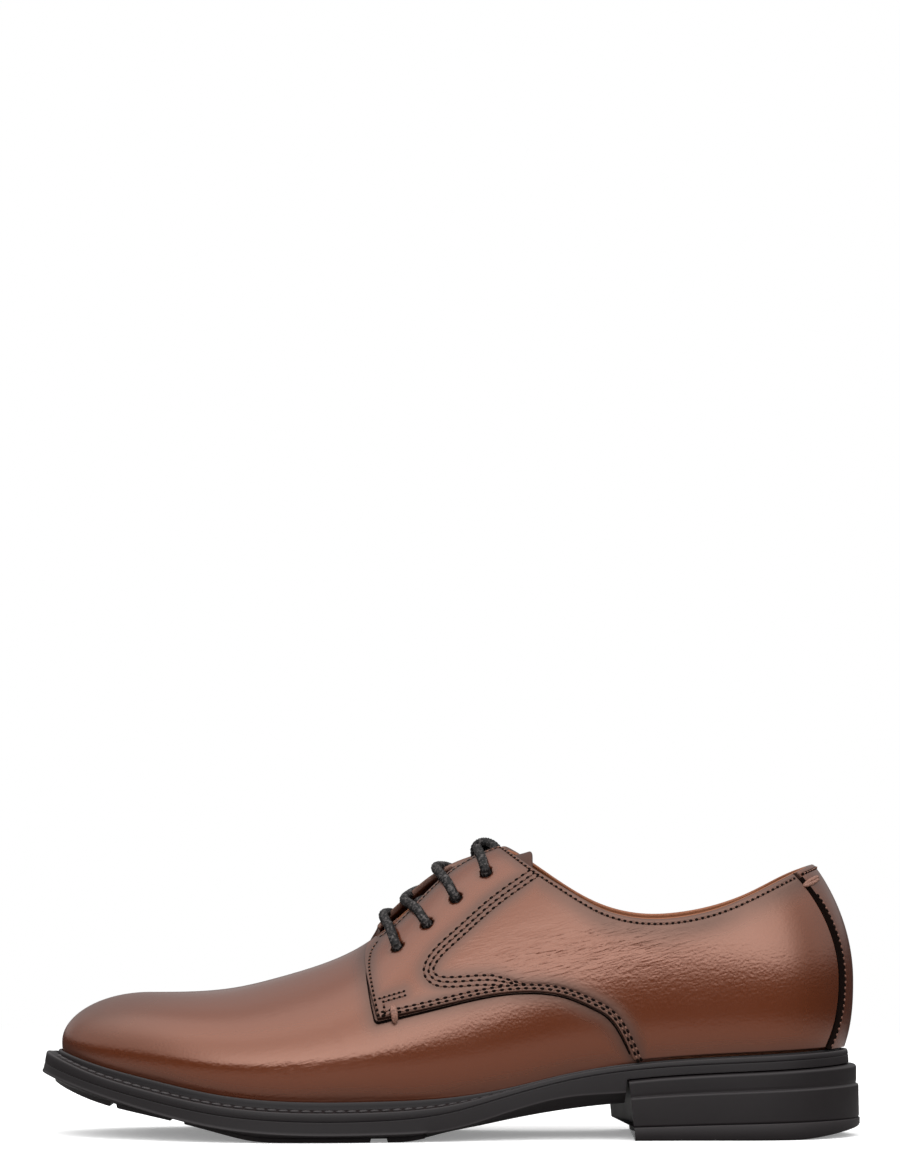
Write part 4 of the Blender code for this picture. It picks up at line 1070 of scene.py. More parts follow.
def makeQuarter(side):
    rib, t = quarterGrid(side)
    base = lastPoint(side, rib, t)
    turned = base.swapaxes(0, 1)
    fromLow, fromTop = lengthsUp(base), lengthsDown(base)
    fromFront, fromBack = lengthsUp(turned).T, lengthsDown(turned).T
    sewQuarter(side, rib, t, fromTop)
    toSeam, toHole, masks = quarterMasks(side, rib, t, (fromLow, fromTop, fromFront))
    start, end = quarter["facingFrom"]
    onFacing = np.clip((base[..., 0] - start) / (end - start), 0, 1)
    wall, cut = quarter["edgeWall"], quarter["cutRadius"]
    topRadius = quarter["foldRadius"] * (1 - onFacing) + cut * onFacing
    topWall = wall * (1 - onFacing) + quarter["facingWall"] * onFacing
    rounding = np.minimum.reduce([
        wall + (1 - wall) * edgeShape(fromLow, cut),
        topWall + (1 - topWall) * edgeShape(fromTop, topRadius),
        wall + (1 - wall) * edgeShape(fromFront, cut),
        wall + (1 - wall) * edgeShape(fromBack, quarter["backRadius"]),
    ])
    distance = quarter["inner"] + (quarter["outer"] - quarter["inner"]) * rounding
    distance -= sewing["channel"] * np.exp(-(toSeam / sewing["channelWidth"]) ** 2)
    distance += softFolds(base, quarter["creases"]) * np.clip((toSeam - 1.5) / 3, 0, 1)
    distance -= quarter["holeDepth"] * np.clip((quarter["holeRadius"] + 0.25 - toHole) / 0.7, 0, 1)
    stand = 0.0
    if side == medial:
        lifted = 1 - edgeShape(fromTop, quarter["liftReach"])
        stand = facingLift(rib) * (rib > quarter["liftFrom"]) * lifted
    outer = offLast(side, rib, t, distance + stand)
    inner = offLast(side, rib, t, np.minimum(quarter["inner"], distance - 0.3) + stand)
    name = "quarter_" + sides[side]
    piece = shellPiece("dressed_" + name, outer, inner, upperLeather, masks, sharp=60)
    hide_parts(name)


# vamp: the front of the upper, running back under the quarters

throatColumns = last["throat"] - np.array([0.02, 0.1, 0.35, 0.8, 1.5, 2.4, 3.4, 4.4])
ridgeT = 1.9999      # a wall that ends above this t meets its other half on the ridge
vamp = {
    "skin": 0.0,
    "thickness": 0.9,
    "backStation": 72.0,
    "toeFrom": 236.0,
    "rows": 56,
    "underFrom": 9.0,      # behind the throat it lies under the quarters
    "underQuarter": 5.0,
    "sink": [      # station, how far the wall goes below the feather line
        (8.4, 0.8), (132.0, 0.9), (152.0, 1.7), (172.0, 2.2), (250.0, 2.3), (280.0, 2.0), (294.6, 1.6),
    ],
    "creases": [      # station, height, length, tilt, depth
        (196.0, 47.0, 40.0, 62.0, 0.10), (206.0, 42.0, 36.0, 68.0, 0.08), (214.0, 47.0, 30.0, 60.0, 0.06),
    ],
    "toeShade": {"from": 238.0, "length": 42.0, "growth": 1.2, "amount": 0.6, "low": 4.0, "rise": 14.0},
    "footShade": (0.5, 5.0),      # amount, reach
    # seamShade is painted shade on the vamp beside the quarters' edge
    "seamShade": (0.85, 4.2),
    "seamHeights": (43.0, 73.0),
    "seamStations": (177.0, 84.0),
}
upperSink = tableColumn(vamp["sink"], 1)


def aroundShoe(stations):      # once round from the toe: lateral side out, medial side back
    down = np.sort(stations)[::-1]
    return [(lateral, s) for s in down] + [(medial, s) for s in down[-2:0:-1]]


def ribRows(side, stations, end, rows, skinOff, sink):      # rows of points from the foot up each rib
    low = np.zeros_like(stations)
    share = np.repeat(np.linspace(0, 1, rows)[None, :], len(stations), axis=0)
    t = wallT(side, stations, low, end, share)
    skin = offLast(side, stations[:, None], t, np.full(t.shape, skinOff))
    base, outward = featherAt(side, stations)
    foot = np.concatenate([base + outward * skinOff, (featherHeight(base[:, 0]) - sink)[:, None]], -1)
    return np.concatenate([foot[:, None], skin], axis=1), np.concatenate([t[:, :1], t], axis=1)


def quarterOutline(heights, stations, counts):      # down the front edge, then back along the lower one
    level = np.linspace(*heights, counts[0])
    along = np.linspace(*stations, counts[1])
    return np.concatenate([
        np.column_stack([quarterFront(level), level]),
        np.column_stack([along, quarterLowerEdge(along)]),
    ])


def vampMasks(points):
    station, height = points[..., 0], points[..., 2]
    fromFoot = height - featherHeight(station)
    toe = vamp["toeShade"]
    onToe = np.clip((station - toe["from"]) / toe["length"], 0, 1) ** toe["growth"]
    toeShade = onToe * toe["amount"] * np.clip((fromFoot - toe["low"]) / toe["rise"], 0.25, 1)
    seam = quarterOutline(vamp["seamHeights"], vamp["seamStations"], (60, 160))
    seam = treeOf(np.column_stack([seam, np.zeros(len(seam))]))
    flatSide = np.column_stack([station.ravel(), height.ravel(), np.zeros(station.size)])
    toSeam = nearest(flatSide, seam).reshape(station.shape)
    # painted shade beside the quarters' edge (seamShade), added to burnish at the toe and darkening close to
    # the feather line
    shades = [toeShade, rubbed(fromFoot, *vamp["footShade"]), rubbed(toSeam, *vamp["seamShade"])]
    return {
        "burnishAndShade": np.maximum.reduce(shades),
        "wrinkle": 0.05 + 0.25 * np.exp(-(((station - 205) / 18) ** 2)),
        "hole": np.zeros_like(station),
    }


def makeVamp():
    toeFrom = vamp["toeFrom"]
    waist = np.arange(vamp["backStation"], toeFrom, 1.35)
    stations = np.unique(np.r_[fan(toeFrom, toeEnd, 46), waist, throatColumns])
    halves = {}
    for side in (lateral, medial):
        order = stations[::-1] if side == medial else stations
        end = topOfWall(side, order, rounded=True)
        under = order < last["throat"] - vamp["underFrom"]
        length = wallLength(side, order, np.zeros_like(order), end)
        end = np.where(under, end * (1 - vamp["underQuarter"] / length), end)
        sink = upperSink(order)
        flat, t = ribRows(side, order, end, vamp["rows"], vamp["skin"], sink)
        push = softFolds(flat, vamp["creases"]) * np.clip((1.98 - t) / 0.2, 0, 1)
        normal = lastNormal(side, order[:, None], t)
        outer = flat + normal * push[..., None]
        inner, _ = ribRows(side, order, end, vamp["rows"], -vamp["thickness"], sink)
        halves[side] = (outer, inner, end > ridgeT)
    outer, inner, joined = (
        np.concatenate([near, far[1:]]) for near, far in zip(halves[lateral], halves[medial])
    )
    masks = vampMasks(outer)
    piece = shellPiece("vamp", outer, inner, upperLeather, masks, sharp=60, joined=joined)
    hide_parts("upper")


# painted shadow: a dark ribbon along the quarters' cut edge where they lie on the vamp

edgeShadow = {
    "heights": (67.5, 44.4),
    "stations": (176.6, 85.5),
    "rows": [(0.55, 0.12), (0.08, 0.12), (0.08, 1.65)],      # outside the edge, off the last
}


def makeEdgeShadow():
    line = smoothLine(quarterOutline(edgeShadow["heights"], edgeShadow["stations"], (60, 230)), 0.5)
    points, faces = [], []
    for k, side in enumerate((lateral, medial)):
        rows = []
        for out, off in edgeShadow["rows"]:
            rib, t = fromSide(side, *offsetLine(line, out).T, quarter["outer"])
            rows.append(offLast(side, rib, t, np.full(len(rib), off)))
        points.append(np.stack(rows, axis=1).reshape(-1, 3))
        faces += gridFaces(len(line), len(rows), start=k * len(points[0]))
    pieceFrom("painted_edge_shadow", np.concatenate(points), faces, paintedShade)


# lining: the inside of the whole upper, showing as a thin edge above the collar

lining = {
    "inner": -1.8,
    "outer": -0.95,
    "rim": -0.06,
    "above": 0.7,
    "rimHeight": 4.0,
    "rimBlend": 1.5,
    "rimSteps": [0, 0.12, 0.32, 0.6, 1.0, 1.8, 3.0, 4.4],
    "rowsStop": 5.6,      # the even rows end this far below the top
    "rows": 44,
    "edgeRadius": 0.6,
    "edgeTrim": 0.5,
}


def makeLining():
    ends = np.r_[fan(232, toeEnd, 24), fan(50, heelEnd, 30)]
    stations = np.unique(np.r_[ends, np.arange(50, 232, 2.2), throatColumns])
    even = np.linspace(0, 1, lining["rows"])
    rim = np.array(lining["rimSteps"][::-1])
    halves = {}
    for side in (lateral, medial):
        order = stations[::-1] if side == lateral else stations[1:-1]
        end = topOfWall(side, order, rounded=True, above=lining["above"])
        low = np.zeros_like(order)
        length = wallLength(side, order, low, end)[:, None]
        share = np.concatenate([even * (1 - lining["rowsStop"] / length), 1 - rim / length], axis=1)
        t = wallT(side, order, low, end, share)
        fromTop = (1 - share) * length
        atCollar = (end < ridgeT)[:, None]
        lift = np.clip((lining["rimHeight"] - fromTop) / lining["rimBlend"], 0, 1) * atCollar
        trim = lining["edgeTrim"] * np.where(atCollar, 1 - edgeShape(fromTop, lining["edgeRadius"]), 0)
        outerOff = lining["outer"] + (lining["rim"] - lining["outer"]) * lift - trim
        halves[side] = [offLast(side, order[:, None], t, off) for off in (outerOff, lining["inner"] + trim)]
    outer, inner = (np.concatenate(both) for both in zip(halves[lateral], halves[medial]))
    zero = np.zeros(outer.shape[:2])
    masks = {"burnishAndShade": zero + 0.15, "wrinkle": zero + 0.15, "hole": zero}
    shellPiece("lining", outer, inner, liningLeather, masks, sharp=70, closed=True)


# back strip over the heel seam

def stripSheets(side, ribs, share, columns):      # rib, t, distance from the edge, and the gap at each row
    low = tAtHeight(side, ribs, featherHeight(ribs) + quarter["footLift"])
    up = low[:, None] + (topAt(side, ribs) - low)[:, None] * share
    points = lastPoint(side, ribs[:, None], up)
    bottom, edge = backStrip["bottom"], np.array(backStrip["edgeSteps"])
    rows, gap = [], []
    for r in range(share.shape[1]):
        fromSeam = walked(points[:, r])
        rise = np.clip(points[6, r, 2], bottom, backStrip["top"])
        half = float(stripHalfWidth(rise))
        goals = np.r_[half - edge, np.linspace(half - edge[-1], 0, columns)[1:]]
        upShare = min(1.0, (rise - bottom) / (backStrip["gapTop"] - bottom))
        least = backStrip["gapLeast"]
        gap.append(backStrip["gap"] * (least + (1 - least) * math.sin(math.pi * upShare) ** 0.7))
        rows.append((np.interp(goals, fromSeam, ribs), np.interp(goals, fromSeam, up[:, r]), half - goals))
    rib, t, fromEdge = (np.array(sheet).T for sheet in zip(*rows))
    return rib, t, fromEdge, np.array(gap)


def makeBackStrip(rows=110, columns=34):
    ribs = fan(backStrip["ribsFrom"], heelEnd, 90)[::-1]
    share = rowShares(np.full(len(ribs), 70.0), edgeRows, rows)
    skin, thick = backStrip["outer"], backStrip["outer"] - backStrip["inner"]
    halves, ribbon, ribbonFaces = [], [], []
    for side in (lateral, medial):
        rib, t, fromEdge, gap = stripSheets(side, ribs, share, columns)
        beside = gap + backStrip["stitchIn"]
        fromTop = lengthsDown(lastPoint(side, rib, t))
        lineRib, lineT = (line[backStrip["stitchRows"]] for line in readAt(beside, fromEdge.T, rib.T, t.T))
        sewRow(side, lineRib, lineT, sewing["finePitch"], skin, channel=False)
        topMarks = np.full(len(rib), -backStrip["topRow"])
        topRib, topT = (line[backStrip["topColumns"]] for line in readAt(topMarks, -fromTop, rib, t))
        sewRow(side, topRib, topT, sewing["finePitch"], skin, channel=False)
        rounding = np.minimum(edgeShape(fromEdge - gap, backStrip["edgeRadius"]),
                              edgeShape(fromTop, backStrip["topRadius"]))
        furrows = rubbed(fromEdge - beside, 1.0, 0.5) + rubbed(fromTop - backStrip["topRow"], 1.0, 0.6)
        distance = backStrip["inner"] + thick * (0.5 + 0.5 * rounding) - backStrip["channel"] * furrows
        outer = offLast(side, rib, t, distance)
        inner = offLast(side, rib, t, np.full(rib.shape, backStrip["inner"]))
        # painted shade: darker on the strip's edge beside the gap, over a burnish of 0.5 elsewhere; near
        # black in the gap itself
        shade = np.maximum(rubbed(fromEdge - gap, 0.85, 1.0), 0.5)
        dark = np.clip((gap + 0.12 - fromEdge) / 0.2, 0, 1)
        # painted shadow: a dark ribbon laid in the gap
        marks = np.minimum(fromEdge[:len(backStrip["edgeSteps"])].T, gap[:, None] + backStrip["seamClimb"])
        seamRib, seamT, seamOff = readAt(marks, fromEdge.T, rib.T, t.T, distance.T)
        seam = offLast(side, seamRib, seamT, seamOff + backStrip["seamLift"])[:-backStrip["seamStops"]]
        ribbonFaces += gridFaces(*seam.shape[:2], start=sum(len(r) for r in ribbon))
        ribbon.append(seam.reshape(-1, 3))
        half = (outer, inner, shade, dark)
        halves.append(half if side == lateral else [sheet[::-1][1:] for sheet in half])
    outer, inner, shade, dark = (np.concatenate(both) for both in zip(*halves))
    masks = {"burnishAndShade": shade, "wrinkle": np.full(shade.shape, 0.05), "hole": dark}
    piece = shellPiece("dressed_back_strip", outer, inner, upperLeather, masks, sharp=60)
    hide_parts("back_strip")
    pieceFrom("painted_strip_gap_shadow", np.concatenate(ribbon), ribbonFaces, paintedShade)


# tongue under the facings

tongue = {
    "front": 190.0, "top": 122.0, "outer": -2.8, "thickness": 2.0, "sag": 1.5,
    "halfWidth": [(122.0, 19.0), (135.0, 21.0), (165.0, 19.0), (190.0, 16.0)],
    "cornerRadius": 9.0,
}
tongueHalfWidth = tableColumn(tongue["halfWidth"], 1)


def makeTongue(columns=30):
    close = np.array([0, 0.15, 0.4, 0.8, 1.4])
    stations = np.r_[tongue["top"] + close, np.arange(124, 190, 1.2), tongue["front"]]
    edge = np.array([0, 0.012, 0.03, 0.06])
    shares = np.r_[1 - edge, np.linspace(0.9, 0, columns)]
    outers, inners = [], []
    for side in (lateral, medial):
        half = tongueHalfWidth(stations)
        behind = np.maximum(0, tongue["cornerRadius"] - (stations - tongue["top"]))
        half = half - (tongue["cornerRadius"] - np.sqrt(tongue["cornerRadius"] ** 2 - behind ** 2)) * 0.45
        t = tNearRidge(side, stations[:, None], half[:, None] * shares[None, :])
        rounding = np.minimum(edgeShape((1 - shares)[None, :] * half[:, None], 0.9),
                              edgeShape(stations[:, None] - tongue["top"], 0.9))
        sag = -tongue["sag"] * np.clip((138 - stations) / 12, 0, 1)[:, None]
        outerOff = tongue["outer"] + sag - 0.8 * (1 - rounding)
        innerOff = tongue["outer"] + sag - tongue["thickness"] + 0.7 * (1 - rounding)
        outer, inner = (offLast(side, stations[:, None], t, off) for off in (outerOff, innerOff))
        if side == medial:
            outer, inner = outer[:, ::-1][:, 1:], inner[:, ::-1][:, 1:]
        outers.append(outer)
        inners.append(inner)
    outer, inner = np.concatenate(outers, axis=1), np.concatenate(inners, axis=1)
    zero = np.zeros(outer.shape[:2])
    # painted shade: the whole tongue darkened
    masks = {"burnishAndShade": zero + 0.7, "wrinkle": zero + 0.3, "hole": zero}
    piece = shellPiece("dressed_tongue", outer, inner, shadedTongueLeather, masks, sharp=60)
    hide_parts("tongue")


# sole edge: welt, outsole, heel and top lift

sole = {
    "edges": [      # station, welt lateral, welt medial, welt drop, welt depth, flare, outsole depth, sink
        (8.4, 4.3, 4.3, 0.8, 2.4, 0.3, 6.0, 0.8),
        (50.0, 4.0, 4.0, 0.7, 2.3, 0.3, 6.0, 0.8),
        (84.0, 2.4, 2.2, 0.7, 2.3, 0.4, 10.2, 0.8),
        (110.0, 1.5, 1.3, 0.7, 2.3, 0.6, 8.3, 0.8),
        (132.0, 2.0, 1.4, 1.1, 2.8, 0.7, 8.8, 0.9),
        (152.0, 4.0, 2.8, 2.8, 5.0, 0.6, 11.2, 1.7),
        (172.0, 5.2, 5.0, 3.7, 6.3, 0.4, 11.7, 2.2),
        (205.0, 5.4, 5.4, 3.9, 6.6, 0.4, 11.7, 2.3),
        (250.0, 5.6, 5.6, 3.8, 6.5, 0.5, 11.0, 2.3),
        (280.0, 5.8, 5.8, 2.7, 5.7, 0.8, 9.2, 2.0),
        (294.6, 6.0, 6.0, 0.9, 4.6, 1.1, 8.0, 1.6),
    ],
    "ground": [      # station, height of the tread face
        (84.0, 13.4), (94.0, 12.6), (108.0, 11.0), (126.0, 8.1), (142.0, 5.0), (153.0, 2.9),
        (161.0, 1.0), (168.0, 0.0), (190.0, 0.0), (214.0, 0.0), (222.0, 0.6), (234.0, 3.2),
        (244.0, 5.6), (255.0, 7.9), (266.0, 10.0), (277.6, 12.5), (289.0, 16.2), (298.5, 20.3),
        (302.0, 22.0),
    ],
    "flat": (168.0, 214.0),
    "weltInner": 4.0,
    "seatGap": 0.3,
    "jointGap": 0.06,      # between welt and outsole, as seen
    "slant": 0.5,      # of the flare, at that joint
    "waistBevel": 5.5,
    "treadInset": 3.0,
    "treadStarts": 160.0,
    "treadDepth": 1.4,
    "grooves": [(176.8, 6.0), (248.2, 4.8), (272.0, 2.4)],      # station, width
    "fineGroove": 0.7,
    "finePitch": 6.0,
    "toothPitch": 1.6,
    "sideRib": 0.3,
    "breast": 87.2,
    "breastSkew": 4.8,
    "breastReach": 36.0,
    "breastHollow": 3.0,
    "seatDepth": 5.5,
}
weltOut = {lateral: tableColumn(sole["edges"], 1), medial: tableColumn(sole["edges"], 2)}
weltDrop = tableColumn(sole["edges"], 3)
weltDepth = tableColumn(sole["edges"], 4)
outsoleFlare = tableColumn(sole["edges"], 5)
outsoleDepth = tableColumn(sole["edges"], 6)
soleSink = tableColumn(sole["edges"], 7)
groundCurve = tableColumn(sole["ground"], 1)


def onEdge(side, station, profile):      # (out, height) points outside the feather line at one station
    base, outward = featherAt(side, float(station))
    profile = np.asarray(profile)
    return np.column_stack([base + outward * profile[:, :1], profile[:, 1]])


def levelInside(side, station, out):
    base, outward = featherAt(side, float(station))
    return float(featherHeight((base + outward * out)[0]))


def groundHeight(station):
    level = (station >= sole["flat"][0]) & (station <= sole["flat"][1])
    return np.where(level, 0.0, np.maximum(0.0, groundCurve(station)))


def edgeHighlightMask(shape, spots, reach):      # painted highlight: where an edge is made lighter, as if it caught the light
    away = np.min([np.hypot(*(np.asarray(shape) - spot).T) for spot in spots], axis=0)
    return np.exp(-(away / reach) ** 2)


def weltFullness(out):      # 1 where the welt is wide, less at the waist
    return min(1.0, max(0.25, (out - 1.0) / 4.0))


def weltProfile(side, station):
    out, drop = float(weltOut[side](station)), float(weltDrop(station))
    depth, flare = float(weltDepth(station)), float(outsoleFlare(station))
    sink = float(soleSink(station)) + sole["seatGap"]
    level = float(featherHeight(station))
    inner = level - levelInside(side, station, -sole["weltInner"])
    full = weltFullness(out)
    bead = 0.35 + 1.15 * full
    corners = [      # out, below the feather line
        (-sole["weltInner"], sink + inner), (0.18, sink), (0.12, 0.35), (0.35, -0.15 * full),
        (0.35 + 0.8 * full, -0.15 * full), (bead, 0.25 + drop * 0.16),
        (bead + 0.15 * full, drop * 0.52 + 0.95 * full), (bead + 0.75 * full, drop * 0.60 + 0.85 * full),
        (bead + 0.95 * full, drop * 0.60), (out - 0.95 * full, drop - 0.30 * full),
        (out - 0.75 * full, drop - 0.42 * full), (out - 0.25, drop - 0.25 * full), (out + 0.04, drop + 0.6),
        (out + sole["slant"] * flare, depth), (-sole["weltInner"], depth + inner),
    ]
    shape = roundedLine([(o, level - below) for o, below in corners], 0.35, 2)
    # painted highlight on the outer lip and the top of the bead
    edgeHighlight = [(out - 0.4, level - drop + 0.35 * full), (0.35 + 0.75 * full, level + 0.15 * full)]
    return onEdge(side, station, shape), edgeHighlightMask(shape, edgeHighlight, 0.38)


def makeWelt():
    stations = np.unique(np.r_[fan(238, toeEnd, 70), np.arange(48, 238, 1.5), fan(48, heelEnd, 40)])
    rows, rims = (np.array(a) for a in zip(*[weltProfile(side, s) for side, s in aroundShoe(stations)]))
    columns, count = rows.shape[:2]
    faces = gridFaces(columns, count, closedColumns=True, closedRows=True)
    piece = pieceFrom("dressed_welt", rows.reshape(-1, 3), faces, weltRubber,
                      {"rim": rims}, sharp=48)
    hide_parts("welt")


weltStitch = {
    "pitch": 4.1,
    "length": 3.5,
    "width": 0.62,
    "height": 0.46,
    "slant": 0.45,
    "rings": 7,
    "starts": 128.0,      # on the lateral side
    "turns": 292.0,      # at the toe
    "ends": 132.0,      # on the medial side
}


def makeWeltStitches():      # moulded slanted stitches on the welt's shelf, in a lighter rubber as painted highlight
    step = 0.5
    out = np.arange(weltStitch["starts"], weltStitch["turns"], step)
    back = np.arange(weltStitch["turns"], weltStitch["ends"], -step)
    line = []
    for side, s in [(lateral, s) for s in out] + [(medial, s) for s in back]:
        reach, drop, level = float(weltOut[side](s)), float(weltDrop(s)), float(featherHeight(s))
        full = weltFullness(reach)
        inside, outside = 0.35 + 2.1 * full, reach - 0.95 * full
        below = drop * 0.60 + (drop * 0.40 - 0.30 * full) * 0.5
        line.append([*onEdge(side, s, [((inside + outside) / 2, level - below)])[0], full])
    line = np.array(line)
    steps = walked(line[:, :3])
    turns = np.linspace(0, 2 * math.pi, 8, endpoint=False)
    spread = np.linspace(-1, 1, weltStitch["rings"])
    girth = np.sqrt(np.maximum(0.05, 1 - spread ** 2 * 0.95))[:, None, None]
    up = np.array([0.0, 0.0, 1.0])
    stitches = []
    for mark in np.arange(1.0, steps[-1] - weltStitch["length"], weltStitch["pitch"]):
        places = mark + weltStitch["length"] * np.linspace(0, 1, weltStitch["rings"])
        run = np.stack([np.interp(places, steps, line[:, i]) for i in range(4)], -1)
        middle, full = run[:, :3], run[:, 3:]
        ahead = middle[-1] - middle[0]
        ahead /= np.linalg.norm(ahead)
        across = np.cross(ahead, up)
        across /= np.linalg.norm(across)
        middle = middle + across * (spread[:, None] * weltStitch["slant"]) * full
        ring = (np.cos(turns)[:, None] * across * weltStitch["width"]
                + np.sin(turns)[:, None] * up * weltStitch["height"])
        stitches.append(middle[:, None] + ring[None] * girth * full[:, :, None])
    tubesPiece("welt_stitches", stitches, highlitStitchRubber)


def breastSkew(station):
    near = max(0.0, 1 - ((station - sole["breast"]) / sole["breastReach"]) ** 2)
    return sole["breastSkew"] * near ** 2


def inGroove(station):
    return any(abs(station - middle) < width / 2 for middle, width in sole["grooves"])


def outsoleProfile(side, station, kind):
    out = float(weltOut[side](station))
    level = float(featherHeight(station))
    shelf = level - float(weltDepth(station)) - sole["jointGap"]
    flare = out + float(outsoleFlare(station))
    inner = -sole["weltInner"] - sole["seatGap"]
    fall = level - levelInside(side, station, inner)
    plateau = level - fall - float(soleSink(station)) - 2 * sole["seatGap"]
    depth = sole["seatDepth"] if kind == "seat" else float(outsoleDepth(station))
    rib = level - depth
    reach = station + (out - sole["treadInset"]) * featherAt(side, float(station))[1][0]
    ground = float(groundHeight(reach))
    joint = out + sole["slant"] * float(outsoleFlare(station))
    shape = [(inner, plateau), (inner, shelf - fall), (joint - 0.2, shelf), (joint + 0.02, shelf - 0.2)]
    if kind == "seat":
        shape += [(flare, rib + 0.5), (flare, rib + 0.25), (flare, rib), (out - 3, rib), (out - 5, rib)]
    elif kind == "waist":
        inside = out - sole["waistBevel"]
        shape += [(flare, rib + 0.6), (flare, rib), (flare - 0.6, rib - 0.4),
                  (inside + 1.4, ground + 0.5), (inside, ground)]
    else:
        inside = out - sole["treadInset"]
        floor = ground + (sole["treadDepth"] if inGroove(station) else 0.0)
        edge = max(floor + 0.1, min(ground + sole["treadDepth"] + 0.2, rib - 0.4))
        shape += [(flare, rib + 1.0), (flare + sole["sideRib"], rib + 0.6), (flare + sole["sideRib"], rib),
                  (inside, edge), (inside - 0.4, floor)]
    shape = roundedLine(shape, 0.3, 2)
    # painted highlight on the side rib's edge
    edgeHighlight = [(flare + sole["sideRib"], rib + 0.5)] if kind == "forepart" else [(flare, rib + 0.3)]
    return onEdge(side, station, shape), edgeHighlightMask(shape, edgeHighlight, 0.3) * (0.0 if kind == "seat" else 0.6)


def treadCut(station, share):      # fine tread: cross bars inside a plain border
    border = np.clip((1 - np.abs(2 * share - 1)) / 0.22, 0, 1)
    if station > 281:
        wave = 0.5 + 0.5 * np.cos(2 * math.pi * station / sole["toothPitch"] / 2)
    else:
        wave = 1.0 if (station % sole["finePitch"]) < 1.5 else 0.0
    return sole["fineGroove"] * wave * (border > 0.8)


def outsoleEnd(first, profile, across, count):      # closes one end with quads from side to side
    near = first + np.arange(profile)
    under = first + np.arange(profile, profile + across)
    far = first + np.arange(profile + across, 2 * profile + across)[::-1]
    top = first + np.arange(2 * profile + across, count)
    faces = [(near[i], near[i + 1], far[i + 1], far[i]) for i in range(1, profile - 2)]
    faces.append((near[0], near[1], far[1], far[0], *top))
    faces.append((near[-2], near[-1], *under, far[-1], far[-2]))
    return [tuple(int(v) for v in face) for face in faces]


def makeOutsole(across=36):
    walls = [m + k * w / 2 + d for m, w in sole["grooves"] for k in (-1, 1) for d in (-0.2, 0.2)]
    fine = np.arange(170, 284, sole["finePitch"] / 4)
    forepart = np.r_[fan(270, toeEnd, 46), sole["treadStarts"] + 0.3, np.arange(162, 290, 1.5), fine, walls]
    waist = np.r_[np.arange(88, 159, 2.0), sole["breast"] + 0.4]
    seat = np.r_[sole["breast"], np.arange(52, 84, 2.5), fan(50, heelEnd, 34)]
    stations = np.unique(np.round(np.r_[forepart, sole["treadStarts"] - 0.3, waist, seat], 2))
    rows, rims = [], []
    for station in stations[(stations > heelEnd) & (stations < toeEnd)][::-1]:
        kind = "forepart" if station > sole["treadStarts"] else "waist"
        kind = "seat" if station <= sole["breast"] else kind
        near, nearRim = outsoleProfile(lateral, station, kind)
        far, farRim = outsoleProfile(medial, station + breastSkew(station), kind)
        share = np.linspace(0, 1, across + 2)[1:-1][:, None]
        under = near[-1] * (1 - share) + far[-1] * share
        if kind == "forepart" and not inGroove(station):
            under[:, 2] += treadCut(station, share[:, 0])
        top = far[0] * (1 - share[::6]) + near[0] * share[::6]
        rows.append(np.concatenate([near, under, far[::-1], top]))
        rims.append(np.r_[nearRim, np.zeros(len(under)), farRim[::-1], np.zeros(len(top))])
    rows = np.array(rows)
    columns, count = rows.shape[:2]
    faces = gridFaces(columns, count, closedRows=True)
    for first in (0, (columns - 1) * count):
        faces += outsoleEnd(first, len(near), across, count)
    piece = pieceFrom("dressed_outsole", rows.reshape(-1, 3), faces, outsoleRubber,
                      {"rim": np.array(rims)}, sharp=42)
    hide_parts("outsole")


heel = {
    "gap": 0.4,
    "sideOut": 6.2,
    "backOut": 8.2,
    "backStarts": 34.0,
    "layers": [      # share of the height from the top, step out
        (0.00, -2.0), (0.02, -1.05), (0.06, -0.75), (0.30, -0.8), (0.365, -1.0), (0.375, -0.25),
        (0.40, 0.02), (0.97, 0.15), (1.00, -0.25),
    ],
    "edgeHighlight": (0.035, 0.385),      # shares with a painted edge highlight
    "lean": 2.2,      # the breast's foot lies this much further back
    "liftFront": 4.8,
    "liftBack": 7.0,
    "liftSkew": -0.35,
    "liftTopRings": [(-0.15, 0.0, 0.0), (0.3, -0.12, 0.6), (0.42, -0.45, 0.3)],      # step out, rise, painted edge highlight
    "liftFootRings": [(0.35, 0.9, 0.0), (0.05, 0.35, 0.0), (-0.3, 0.08, 0.0), (-0.8, 0.0, 0.0)],
    "rollStarts": 28.0,
    "rollRise": 3.6,
}


def heelOut(station):
    share = np.clip((heel["backStarts"] - station) / (heel["backStarts"] - heelEnd), 0, 1)
    return heel["sideOut"] + (heel["backOut"] - heel["sideOut"]) * share ** 2


def liftTop(station):
    share = (sole["breast"] - station) / sole["breast"]
    return heel["liftFront"] + (heel["liftBack"] - heel["liftFront"]) * share


def heelSeat(station):
    return float(featherHeight(station)) - sole["seatDepth"] - heel["gap"]


def heelRoll(station):
    back = max(0.0, (heel["rollStarts"] - station) / (heel["rollStarts"] - heelEnd))
    return heel["rollRise"] * back ** 1.6


heelStations = np.r_[sole["breast"] - heel["gap"], np.arange(83, 51, -2.0), fan(50, heelEnd, 44)]


